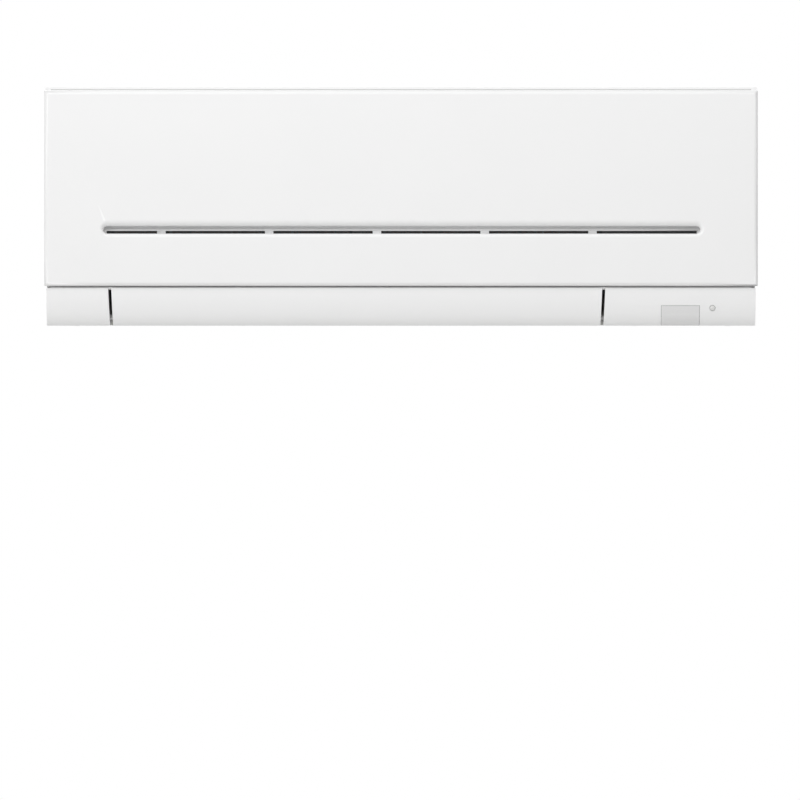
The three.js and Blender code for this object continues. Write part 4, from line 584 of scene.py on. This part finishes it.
# %% Frames and nets of the filters
FILTER_FOOT, FILTER_BACK = -46, 66
FILTER_SPANS = {"filter_left": (-344, -53.5), "filter_right": (-50.5, 240)}
FILTER_THICK, FRAME_WIDTH, UPRIGHTS = 2.4, 7, 4
FRONT_RAILS, TOP_RAILS = (FILTER_FOOT, 26.5, 99), (FILTER_BACK, 125)
NET_PITCH, THREAD, NET_LIFT, NET_INSET = 3.4, 0.5, 0.9, 1
filter_front, filter_top = CASING_FRONT - WALL_AND_SEAT, CASING_TOP - WALL_AND_SEAT
cross_threads = spread_along(
    filter_line(WALL_AND_SEAT + NET_LIFT + THREAD / 2, FILTER_FOOT, FILTER_BACK), NET_PITCH)

for name, (x0, x1) in FILTER_SPANS.items():
    frame_mesh, net = bmesh.new(), bmesh.new()
    pitch = (x1 - x0 - FRAME_WIDTH) / (UPRIGHTS - 1)
    for i in range(UPRIGHTS):
        width = FRAME_WIDTH if i in (0, UPRIGHTS - 1) else FRAME_WIDTH / 2
        start = x1 - FRAME_WIDTH if i == UPRIGHTS - 1 else x0 + i * pitch
        rail(frame_mesh, start, start + width, 0, FILTER_THICK, FILTER_FOOT, FILTER_BACK)
    for z in FRONT_RAILS:
        brick(frame_mesh, x0, x1, filter_front - FILTER_THICK, filter_front, z, z + FRAME_WIDTH)
    for back in TOP_RAILS:
        brick(frame_mesh, x0, x1, back, back + FRAME_WIDTH, filter_top - FILTER_THICK, filter_top)
    count = int((x1 - x0) / NET_PITCH)
    for i in range(1, count):
        x = x0 + (x1 - x0) * i / count
        rail(net, x - THREAD / 2, x + THREAD / 2, NET_LIFT, THREAD,
             FILTER_FOOT + NET_INSET, FILTER_BACK + NET_INSET)
    for spot in cross_threads:
        section(net, circle(spot, THREAD / 2, 4, start=45), x0 + NET_INSET, x1 - NET_INSET)
    frame_thing = finished(
        name + "_frame", frame_mesh, frame_plastic, "housing", smooth=False)
    finished(name + "_net", net, fan_plastic, "housing", smooth=False)
    soften(frame_thing, 0.3)
    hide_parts(name)
    print(name, "threads:", count - 1 + len(cross_threads))

# %% [markdown]
# ## Turned pieces and screws
#
# A screw head is a turned shape with a cross pressed into it. The cross is real geometry: the top face is
# filled between the rim and the cross, and the cross drops to a floor of its own. The sizes of a head are
# written as shares of its radius, so one function makes every screw.

# %% Screw head
HEAD_SIDES = 20
SKIRT_HEIGHT, TOP_HEIGHT, TOP_RADIUS = 0.3, 0.52, 0.82
CROSS_ARM, CROSS_HALF_WIDTH, CROSS_FLOOR = 0.55, 0.13, 0.12


def lathe(mesh, place, axis, profile, sides):
    """Turns (radius, height) pairs about an axis through a place, and returns the last ring, left open."""
    turn = Vector(axis).to_track_quat("Z", "Y").to_matrix()
    angles = [2 * math.pi * i / sides for i in range(sides)]
    rings = []
    for radius, height in profile:
        points = [turn @ Vector((radius * math.cos(a), radius * math.sin(a), height)) for a in angles]
        rings.append([mesh.verts.new((Vector(place) + point) * MM) for point in points])
    for lower, upper in zip(rings, rings[1:]):
        for i in range(sides):
            j = (i + 1) % sides
            mesh.faces.new((lower[i], lower[j], upper[j], upper[i]))
    mesh.faces.new(rings[0][::-1])
    return rings[-1]


def cross_corners(radius):
    """The twelve corners of the cross in a head, in order round it."""
    arm, half = CROSS_ARM * radius, CROSS_HALF_WIDTH * radius
    corners = []
    for i in range(4):
        a = math.pi / 2 * i
        for u, v in ((half, half), (arm, half), (arm, -half)):
            corners.append((u * math.cos(a) + v * math.sin(a), u * math.sin(a) - v * math.cos(a)))
    return sorted(corners, key=lambda corner: math.atan2(corner[1], corner[0]))


def screw(mesh, place, axis, radius):
    """Adds a pan head screw with a cross recess; place is the middle of its seat, in mm."""
    profile = [(radius, 0), (radius, SKIRT_HEIGHT * radius), (TOP_RADIUS * radius, TOP_HEIGHT * radius)]
    rim = lathe(mesh, place, axis, profile, HEAD_SIDES)
    turn = Vector(axis).to_track_quat("Z", "Y").to_matrix()
    levels = []
    for height in (TOP_HEIGHT * radius, CROSS_FLOOR * radius):
        points = [turn @ Vector((u, v, height)) for u, v in cross_corners(radius)]
        levels.append([mesh.verts.new((Vector(place) + point) * MM) for point in points])
    top, floor_ring = levels
    count = len(top)
    edges = [mesh.edges.new((top[i], top[(i + 1) % count])) for i in range(count)]
    edges += [mesh.edges.get((rim[i], rim[(i + 1) % len(rim)])) for i in range(len(rim))]
    bmesh.ops.triangle_fill(mesh, use_beauty=True, edges=edges)
    for i in range(count):
        j = (i + 1) % count
        mesh.faces.new((top[i], top[j], floor_ring[j], floor_ring[i]))
    mesh.faces.new(floor_ring)


print("corners in a screw's cross:", len(cross_corners(1)))

# %% Screws of the housing
COVER_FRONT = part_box("electrical_cover")[0][1] / MM
COVER_X, COVER_Z, COVER_SCREW = (271, 394), (-63, 98), 2.8
STRAP_X, STRAP_RADIUS, STRAP_TABS, STRAP_SCREW = 267, 51.6, ((-40, 1), (146, -1)), 2.8
BEARING_X, BEARING_RISES, BEARING_SCREW = -353.5, (-13.7, 13.7), 1.5
screws = bmesh.new()
for x in COVER_X:
    for z in COVER_Z:
        screw(screws, (x, COVER_FRONT, z), (0, -1, 0), COVER_SCREW)
for degrees, side in STRAP_TABS:
    a = math.radians(degrees)
    seat = (STRAP_X, -(FAN[0] + STRAP_RADIUS * math.cos(a)), FAN[1] + STRAP_RADIUS * math.sin(a))
    screw(screws, seat, (0, side * math.sin(a), side * math.cos(a)), STRAP_SCREW)
for rise in BEARING_RISES:
    screw(screws, (BEARING_X, -FAN[0], FAN[1] + rise), (-1, 0, 0), BEARING_SCREW)
finished("housing_screws", screws, zinc_steel, "housing")
print("screws:", len(COVER_X) * len(COVER_Z) + len(STRAP_TABS) + len(BEARING_RISES))

# %% [markdown]
# ## Fine bars of the inlet grille
#
# The grille's long slots are crossed by thin bars, 9.5 mm apart, that keep fingers out. They are set a
# little below the top face, as the mould draws them, and run a little way into the slots' sides.

# %% Grille bars
SLOT_WIDTH, SLOT_BACK, SLOT_COUNT, COLUMN_RIB, COLUMNS = 10, 34, 7, 5, 4
OUTLET_LEFT, OUTLET_RIGHT = -344, 240
FRONT_MARGIN, BAR_PITCH, BAR = 26, 9.5, 1.5
BAR_BITE, BAR_TOP, BAR_FOOT = 0.4, 0.5, 2.4
slot_pitch = (CASING_FRONT - FRONT_MARGIN - SLOT_WIDTH - SLOT_BACK) / (SLOT_COUNT - 1)
column = (OUTLET_RIGHT - OUTLET_LEFT - COLUMN_RIB * (COLUMNS - 1)) / COLUMNS
bar_count = int(column / BAR_PITCH)
bars = bmesh.new()
for i in range(SLOT_COUNT):
    near = SLOT_BACK + i * slot_pitch
    for j in range(COLUMNS):
        start = OUTLET_LEFT + j * (column + COLUMN_RIB)
        for k in range(1, bar_count):
            x = start + column * k / bar_count
            brick(bars, x - BAR / 2, x + BAR / 2, near - BAR_BITE, near + SLOT_WIDTH + BAR_BITE,
                  CASING_TOP - BAR_FOOT, CASING_TOP - BAR_TOP)
grille = finished("grille_bars", bars, housing_abs, "housing", smooth=False)
soften(grille, 0.25)
print("grille bars:", SLOT_COUNT * COLUMNS * (bar_count - 1))

# %% [markdown]
# ## Filter grips and screw caps
#
# Each filter is pulled out by two ridged grips that stand in the casing's windows. Three thin caps under
# the lower corners hide the casing's screws. Each stands a little proud, with a nib to lever it out by.

# %% Filter grips
GRIP_CENTRES = (-235.25, -163.75, 59.75, 131.25)
GRIP_HALF, GRIP_DEPTHS, GRIP_HEIGHTS = 19, (201.0, 202.2), (-46, -34)
RIDGES, RIDGE_FOOT, RIDGE_PITCH, RIDGE_HALF = 4, -45, 2.8, 17
RIDGE_BACK, RIDGE_FACE = 202.1, 203.3
RIDGE_CREST, RIDGE_WIDTH = (0.4, 1.0), 1.4
grips = bmesh.new()
for centre in GRIP_CENTRES:
    brick(grips, centre - GRIP_HALF, centre + GRIP_HALF, *GRIP_DEPTHS, *GRIP_HEIGHTS)
    for k in range(RIDGES):
        low = RIDGE_FOOT + RIDGE_PITCH * k
        crest = [(RIDGE_FACE, low + rise) for rise in RIDGE_CREST]
        outline = [(RIDGE_BACK, low), *crest, (RIDGE_BACK, low + RIDGE_WIDTH)]
        section(grips, outline, centre - RIDGE_HALF, centre + RIDGE_HALF)
grip_thing = finished("filter_grips", grips, frame_plastic, "housing", smooth=False)
soften(grip_thing, 0.3)
print("grips:", len(GRIP_CENTRES))

# %% Screw caps
CAP_SPOTS = ((-382, 166), (275, 166), (385, 166))
CAP_WIDTH, CAP_DEPTH, CAP_PROUD, CAP_SINK, UNDERSIDE = 17, 12, 0.35, 1, -141
NIB_HALF, NIB_BACK, NIB_FRONT, NIB_PROUD = 3, 2.2, 1.2, 0.3
caps = bmesh.new()
for x, depth in CAP_SPOTS:
    edge, face = depth + CAP_DEPTH, UNDERSIDE - CAP_PROUD
    brick(caps, x - CAP_WIDTH / 2, x + CAP_WIDTH / 2, depth, edge, face, UNDERSIDE + CAP_SINK)
    brick(caps, x - NIB_HALF, x + NIB_HALF, edge - NIB_BACK, edge - NIB_FRONT, face - NIB_PROUD, UNDERSIDE)
cap_thing = finished("screw_caps", caps, housing_abs, "housing", smooth=False)
soften(cap_thing, 0.3)
print("caps:", len(CAP_SPOTS))

# %% [markdown]
# ## Inside of the front panel
#
# A panel this long and thin would drum and sag without ribs. They run up and across its inner face and stop
# short of the slot's pocket. Three snap hooks along its foot, each of two cheeks, hold it shut.

# %% Panel ribs and hooks
PANEL_INNER, RIB_THICK, RIB_TALL = 225.6, 1.4, 4.5
RIB_BANDS = ((-90, -43), (-11, 131))
UPRIGHT_RIBS, FIRST_RIB, RIB_PITCH = 9, -372, 93
LONG_RIBS, LONG_RIB_HALF, LONG_RIB_DROP = (-66, 22, 60, 98), 388, 1
HOOKS, HOOK_CHEEKS, HOOK_SHEET = (-279, 0, 279), (-8, 7), 1.6
HOOK_BEAK = [(210, -88), (208.5, -86), (210, -82.5), (212, -84)]
HOOK_OUTLINE = [(PANEL_INNER, -88), *HOOK_BEAK, (PANEL_INNER, -80)]
ribs = bmesh.new()
for i in range(UPRIGHT_RIBS):
    x = FIRST_RIB + RIB_PITCH * i
    for low, high in RIB_BANDS:
        brick(ribs, x - RIB_THICK / 2, x + RIB_THICK / 2, PANEL_INNER - RIB_TALL, PANEL_INNER, low, high)
for z in LONG_RIBS:
    brick(ribs, -LONG_RIB_HALF, LONG_RIB_HALF, PANEL_INNER - RIB_TALL + LONG_RIB_DROP, PANEL_INNER,
          z - RIB_THICK / 2, z + RIB_THICK / 2)
for x in HOOKS:
    for aside in HOOK_CHEEKS:
        section(ribs, HOOK_OUTLINE, x + aside, x + aside + HOOK_SHEET)
rib_thing = finished("panel_ribs", ribs, inner_abs, "panel", smooth=False)
soften(rib_thing, 0.25)
print("panel ribs:", UPRIGHT_RIBS * len(RIB_BANDS) + len(LONG_RIBS), "hooks:", len(HOOKS))

# %% [markdown]
# ## The front panel's air slot
#
# A long slot runs across the panel, low down. Its upper lip is broad and fully rounded, its lower lip is
# tighter, and between them lies a shallow pocket whose floor leans back towards the top, so the pocket is
# darkest just under the lip. Only the last three millimetres at its foot are open, between narrow bridges.
# These curves are finer than the solid's few facets, so the panel is a copy of the solid in which the slot
# is filled and then cut again with a smooth cutter. Booleans do both, because the cutter is easy to draw:
# it is the space that the slot leaves empty.

# %% Outline of the slot at one depth
PANEL_FACE = 228
SLOT_MIDDLE, SLOT_HALF = 1.0, 355.5
SLOT_TOP, SLOT_FOOT = -16.2, -37.0
TOP_LIP, TOP_LIP_DEPTH = 7.8, 7.4
FOOT_LIP, FOOT_LIP_DEPTH = 4.4, 3.5
END_LIP, END_LIP_DEPTH = 5.0, 6.0
END_STEPS = 10


def lip(reach, lip_depth, depth):
    """How far a rounded lip has come in at a depth below the panel's face."""
    left = max(0.0, 1 - max(0.0, depth) / lip_depth)
    return reach * math.sqrt(1 - left * left)


def slot_ring(mesh, depth, lean=0.0):
    """One closed outline of the slot, at a depth below the face; it leans back by that much at its top."""
    low = SLOT_FOOT + lip(FOOT_LIP, FOOT_LIP_DEPTH, depth)
    high = SLOT_TOP - lip(TOP_LIP, TOP_LIP_DEPTH, depth)
    radius = (high - low) / 2
    reach = SLOT_HALF - lip(END_LIP, END_LIP_DEPTH, depth) - radius
    ring = []
    for side, start in ((1, -90), (-1, 90)):
        for i in range(END_STEPS + 1):
            a = math.radians(start + 180 * i / END_STEPS)
            x = SLOT_MIDDLE + side * reach + radius * math.cos(a)
            z = (high + low) / 2 + radius * math.sin(a)
            back = depth + lean * (z - low) / (high - low)
            ring.append(mesh.verts.new((x * MM, (back - PANEL_FACE) * MM, z * MM)))
    return ring


print("slot is", 2 * SLOT_HALF, "mm long and", round(SLOT_TOP - SLOT_FOOT, 1), "mm high")

# %% Filler and cutter for the slot
FLOOR_DEPTH, FLOOR_LEAN, LIP_STEPS, CUTTER_PROUD = 13.0, 4.0, 8, 1.0
PAD_BACK, PAD_MARGIN = 209.5, 3.0
filler_left, filler_right = SLOT_MIDDLE - SLOT_HALF - PAD_MARGIN, SLOT_MIDDLE + SLOT_HALF + PAD_MARGIN

cutter_mesh = bmesh.new()
turns = [math.pi / 2 * i / LIP_STEPS for i in range(LIP_STEPS + 1)]
depths = [-CUTTER_PROUD] + [TOP_LIP_DEPTH * (1 - math.cos(turn)) for turn in turns]
rings = [slot_ring(cutter_mesh, depth) for depth in depths]
rings.append(slot_ring(cutter_mesh, FLOOR_DEPTH, FLOOR_LEAN))
for near, far in zip(rings, rings[1:]):
    for i in range(len(near)):
        j = (i + 1) % len(near)
        cutter_mesh.faces.new((near[i], near[j], far[j], far[i]))
cutter_mesh.faces.new(rings[0])
cutter_mesh.faces.new(rings[-1][::-1])
slot_cutter = plain_object("slot_cutter", cutter_mesh)

filler_mesh = bmesh.new()
brick(filler_mesh, filler_left, filler_right, PAD_BACK, PANEL_FACE,
      SLOT_FOOT - PAD_MARGIN, SLOT_TOP + PAD_MARGIN)
slot_filler = plain_object("slot_filler", filler_mesh)
print("rings of the cutter:", len(rings))

# %% Cutter for the open line
MOUTH_ENDS, MOUTH_HEIGHT, MOUTH_LIFT = (-346.0, 347.5), 3.2, 0.02
BRIDGES, BRIDGE_MIDDLE, BRIDGE_PITCH, BRIDGE_WIDTH = 5, -28.3, 126.7, 10.0
PAST_BACK, PAST_FLOOR = 1, 2
mouth_foot = SLOT_FOOT + FOOT_LIP
stops = [MOUTH_ENDS[0]]
for i in range(BRIDGES):
    middle = BRIDGE_MIDDLE + BRIDGE_PITCH * (i - BRIDGES // 2)
    stops += [middle - BRIDGE_WIDTH / 2, middle + BRIDGE_WIDTH / 2]
stops.append(MOUTH_ENDS[1])
mouths = list(zip(stops[::2], stops[1::2]))
mouth_mesh = bmesh.new()
for x0, x1 in mouths:
    brick(mouth_mesh, x0, x1, PAD_BACK - PAST_BACK, PANEL_FACE - FLOOR_DEPTH + PAST_FLOOR,
          mouth_foot + MOUTH_LIFT, mouth_foot + MOUTH_HEIGHT)
mouth_cutter = plain_object("mouth_cutter", mouth_mesh)
print("open lengths:", [round(x1 - x0) for x0, x1 in mouths])

# %% Panel with its slot cut
blank = bpy.data.objects.new("panel_blank", nodes["front_panel"].data.copy())
bpy.context.scene.collection.objects.link(blank)
weld_points(blank)
for tool, operation in ((slot_filler, "UNION"), (slot_cutter, "DIFFERENCE"), (mouth_cutter, "DIFFERENCE")):
    step = blank.modifiers.new(tool.name, "BOOLEAN")
    step.operation = operation
    step.solver = "EXACT"
    step.object = tool
graph = bpy.context.evaluated_depsgraph_get()
panel_data = bpy.data.meshes.new_from_object(blank.evaluated_get(graph))
panel_data.name = "front_panel_moulding"
for leftover in (blank, slot_filler, slot_cutter, mouth_cutter):
    bpy.data.objects.remove(leftover)
print("panel faces before the seams:", len(panel_data.polygons))

# %% [markdown]
# ## Seams of the panel
#
# A face with a hole needs a cut that joins the hole to its rim. Seams beside and along the slot place those
# cuts where the face stays evenly shaded. After that the panel is finished as the other solids are.

# %% Seams and finish of the panel
SEAM_REACH = 1e-7
whole = bmesh.new()
whole.from_mesh(panel_data)
planes = [((x, 0, 0), (1, 0, 0)) for x in (filler_left, filler_right)]
planes.append(((0, 0, (SLOT_TOP + SLOT_FOOT) / 2), (0, 0, 1)))
for place, normal in planes:
    everything = whole.verts[:] + whole.edges[:] + whole.faces[:]
    cut = bmesh.ops.bisect_plane(
        whole, geom=everything, dist=SEAM_REACH, plane_co=Vector(place) * MM, plane_no=normal)
    for edge in cut["geom_cut"]:
        if isinstance(edge, bmesh.types.BMEdge):
            edge.seam = True
whole.to_mesh(panel_data)
whole.free()
panel_data.materials.clear()
panel_data.materials.append(housing_abs)
panel_thing = bpy.data.objects.new("front_panel_moulding", panel_data)
bpy.context.scene.collection.objects.link(panel_thing)
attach(panel_thing, "panel")
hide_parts("front_panel")
soften(panel_thing, 0.4)
print("panel faces:", len(panel_data.polygons))

# %% [markdown]
# ## Behind the slot and round the panel
#
# A strip of black net is welded behind the open line and keeps lint out. Its real threads are 0.3 mm thick
# and 0.6 mm apart. They are drawn 0.8 mm thick and 1.2 mm apart, which is as fine as the picture shows.
# Along the casing runs a low rib that the panel's foot closes against. A strip of cut polyurethane foam
# lies behind the panel's top edge and closes the gap there. Its grey is painted shade: it stands in for the
# shadow line between the panel and the casing. It stands one millimetre above that edge and shows as a
# thin grey line. Foam is all open cells, so it is dull and has the deepest grain here.

# %% Slot net
NET_DEPTH, LINT_PITCH, LINT_THREAD, LINT_SHEET = 208.8, 1.2, 0.8, 0.4
LINT_MARGIN, LINT_ROWS = 2, 6
lint = bmesh.new()
lint_foot, lint_top = mouth_foot - LINT_MARGIN, mouth_foot + MOUTH_HEIGHT + LINT_MARGIN
lint_steps = int((MOUTH_ENDS[1] - MOUTH_ENDS[0]) / LINT_PITCH)
for i in range(lint_steps + 1):
    x = MOUTH_ENDS[0] + i * LINT_PITCH
    brick(lint, x, x + LINT_THREAD, NET_DEPTH - LINT_SHEET, NET_DEPTH, lint_foot, lint_top)
for i in range(LINT_ROWS):
    low = lint_foot + LINT_PITCH * i
    brick(lint, MOUTH_ENDS[0], MOUTH_ENDS[1] + LINT_THREAD, NET_DEPTH, NET_DEPTH + LINT_SHEET,
          low, low + LINT_THREAD)
finished("slot_lint_net", lint, fan_plastic, "panel", smooth=False)
print("net threads:", lint_steps + 1 + LINT_ROWS)

# %% Rest rib and grey foam strip of painted shade
# The foam's grey is painted shade: it stands in for the shadow line behind the panel's top edge.
shade_line_foam = moulded_plastic("grey_painted_shade_foam", "B9B9B7", 0.85, 0.95, 0.12, 0.9)
STRIP_REACH = 412
STRIPS = {
    "panel_rest_rib": ((214.5, 216.5), (-98.5, -94.7), housing_abs, "white_housing"),
    "top_painted_shade_strip": ((198.0, 203.5), (131.0, 137.0), shade_line_foam, "black_rubber"),
}
for name, (strip_depths, strip_heights, material, material_slot) in STRIPS.items():
    strip = bmesh.new()
    brick(strip, -STRIP_REACH, STRIP_REACH, *strip_depths, *strip_heights)
    strip_thing = finished(name, strip, material, "housing", smooth=False)
    soften(strip_thing, 0.3)
panel_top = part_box("front_panel")[1][2] / MM
print("foam above the panel's edge in mm:", round(STRIPS["top_painted_shade_strip"][1][1] - panel_top, 1))

# %% [markdown]
# ## Floor, light and camera
#
# The picture is a plain studio shot on white. A unit on a wall has no table under it, so the floor lies
# where a room's floor would begin to show its soft shadow, well below the unit, and fades out at its rim.
# The world is white for what the camera, a reflection or clear plastic sees. What lights the object is a
# softer sky: a little weaker from below, and held back by a grey flag on the right, so that the white
# edges stay visible against the white ground. Four broad lamps do the rest, the front one most of all.
# They are hidden from the camera, as a photographer's lamps stay out of the picture.

# %% World
FILL_ABOVE, FILL_BELOW = 0.64, 0.54
RIGHT_FLAG, FLAG_FROM, FLAG_TO = 0.55, 0.4, 0.9
WHITE = linear("FFFFFF")
world = bpy.data.worlds.new("studio")
bpy.context.scene.world = world
world.use_nodes = True
sky = world.node_tree
sky.nodes.clear()
rays = add(sky, "LightPath")
camera_or_gloss = add(sky, "Math", {"operation": "MAXIMUM"},
                      {0: (rays, "Is Camera Ray"), 1: (rays, "Is Glossy Ray")})
seen = add(sky, "Math", {"operation": "MAXIMUM"},
           {0: (camera_or_gloss, "Value"), 1: (rays, "Is Transmission Ray")})
way = add(sky, "TexCoord")
direction = add(sky, "SeparateXYZ", links={"Vector": (way, "Generated")})
flag_range = {"From Min": FLAG_FROM, "From Max": FLAG_TO, "To Min": 1.0, "To Max": RIGHT_FLAG}
flag = add(sky, "MapRange", flag_range, {"Value": (direction, "X")})
level_range = {"From Min": -1.0, "From Max": 1.0, "To Min": FILL_BELOW, "To Max": FILL_ABOVE}
level = add(sky, "MapRange", level_range, {"Value": (direction, "Z")})
strength = add(sky, "Math", {"operation": "MULTIPLY"}, {0: (flag, "Result"), 1: (level, "Result")})
white = add(sky, "Background", {"Color": WHITE, "Strength": 1.0})
fill = add(sky, "Background", {"Color": WHITE}, {"Strength": (strength, "Value")})
chosen = add(sky, "MixShader", links={
    0: (seen, "Value"), 1: (fill, "Background"), 2: (white, "Background")})
add(sky, "OutputWorld", links={"Surface": (chosen, "Shader")})
print("sky from below, from above, behind the right flag:", FILL_BELOW, FILL_ABOVE, RIGHT_FLAG)

# %% Floor
FLOOR_DROP, FLOOR_RADIUS, FLOOR_SIDES, FLOOR_FADE = 1300, 2400, 96, 0.35
floor_mesh = bmesh.new()
bmesh.ops.create_circle(floor_mesh, cap_ends=True, radius=FLOOR_RADIUS * MM, segments=FLOOR_SIDES)
floor_data = bpy.data.meshes.new("floor")
floor_mesh.to_mesh(floor_data)
floor_mesh.free()
floor = bpy.data.objects.new("floor", floor_data)
floor.location.z = -FLOOR_DROP * MM
bpy.context.scene.collection.objects.link(floor)
floor_paint, floor_tree, floor_shader = new_surface(
    "pale_studio_floor", {"Base Color": linear("F4F4F3"), "Roughness": 0.9})
floor_point = object_point(floor_tree, FLOOR_RADIUS)
spread = add(floor_tree, "TexGradient", {"gradient_type": "SPHERICAL"}, {"Vector": (floor_point, "Vector")})
rim = add(floor_tree, "MapRange", {"From Max": FLOOR_FADE}, {"Value": (spread, "Fac")})
join(floor_tree, floor_shader, {"Alpha": (rim, "Result")})
floor_data.materials.append(floor_paint)
print("floor is", FLOOR_DROP, "mm below the unit's middle")

# %% Lamps
LAMPS = {
    "front_softbox": ((-1.6, -4.4, 2.0), (0, -0.2, 0.02), (3.6, 2.4), 75),
    "top_softbox": ((0.0, -0.85, 0.85), (0, -0.2, 0.1), (2.4, 0.3), 3.3),
    "low_softbox": ((0.0, -1.2, -1.4), (0, -0.2, -0.1), (2.4, 0.6), 5),
    "back_softbox": ((0.0, 2.2, 1.2), (0, 0, 0), (2.2, 1.2), 12),
}


def soft_lamp(name, place, aim, size, power):
    """A rectangular soft lamp at a place, turned towards a point, in metres, with its power in watts."""
    lamp = bpy.data.lights.new(name, "AREA")
    lamp.shape = "RECTANGLE"
    lamp.size, lamp.size_y = size
    lamp.energy = power
    holder = bpy.data.objects.new(name, lamp)
    holder.location = place
    holder.rotation_euler = (Vector(aim) - Vector(place)).to_track_quat("-Z", "Y").to_euler()
    holder.visible_camera = False
    bpy.context.scene.collection.objects.link(holder)


for name, (place, aim, size, power) in LAMPS.items():
    soft_lamp(name, place, aim, size, power)
print("lamps:", len(LAMPS))

# %% Camera
# The front face is square to the camera. A long lens keeps the sides parallel, and the lens is shifted so
# that the unit sits in the upper part of the picture.
PICTURE, SENSOR, LENS = 800, 36, 400
FRONT_WIDTH, FRONT_PIXELS = 838, 713.9
CENTRE_PIXEL = (401.0, 205.9)
front_y = solid_box[0][1]
distance = LENS / SENSOR * FRONT_WIDTH * PICTURE / FRONT_PIXELS * MM
camera_data = bpy.data.cameras.new("camera")
camera_data.lens = LENS
camera_data.sensor_width = SENSOR
camera_data.shift_x = (PICTURE / 2 - CENTRE_PIXEL[0]) / PICTURE
camera_data.shift_y = (CENTRE_PIXEL[1] - PICTURE / 2) / PICTURE
camera = bpy.data.objects.new("camera", camera_data)
camera.location = (0, front_y - distance, 0)
camera.rotation_euler = (math.radians(90), 0, 0)
bpy.context.scene.collection.objects.link(camera)
bpy.context.scene.camera = camera
bpy.context.scene.view_settings.view_transform = "Standard"
print("camera stands", round(distance, 2), "m before the front")
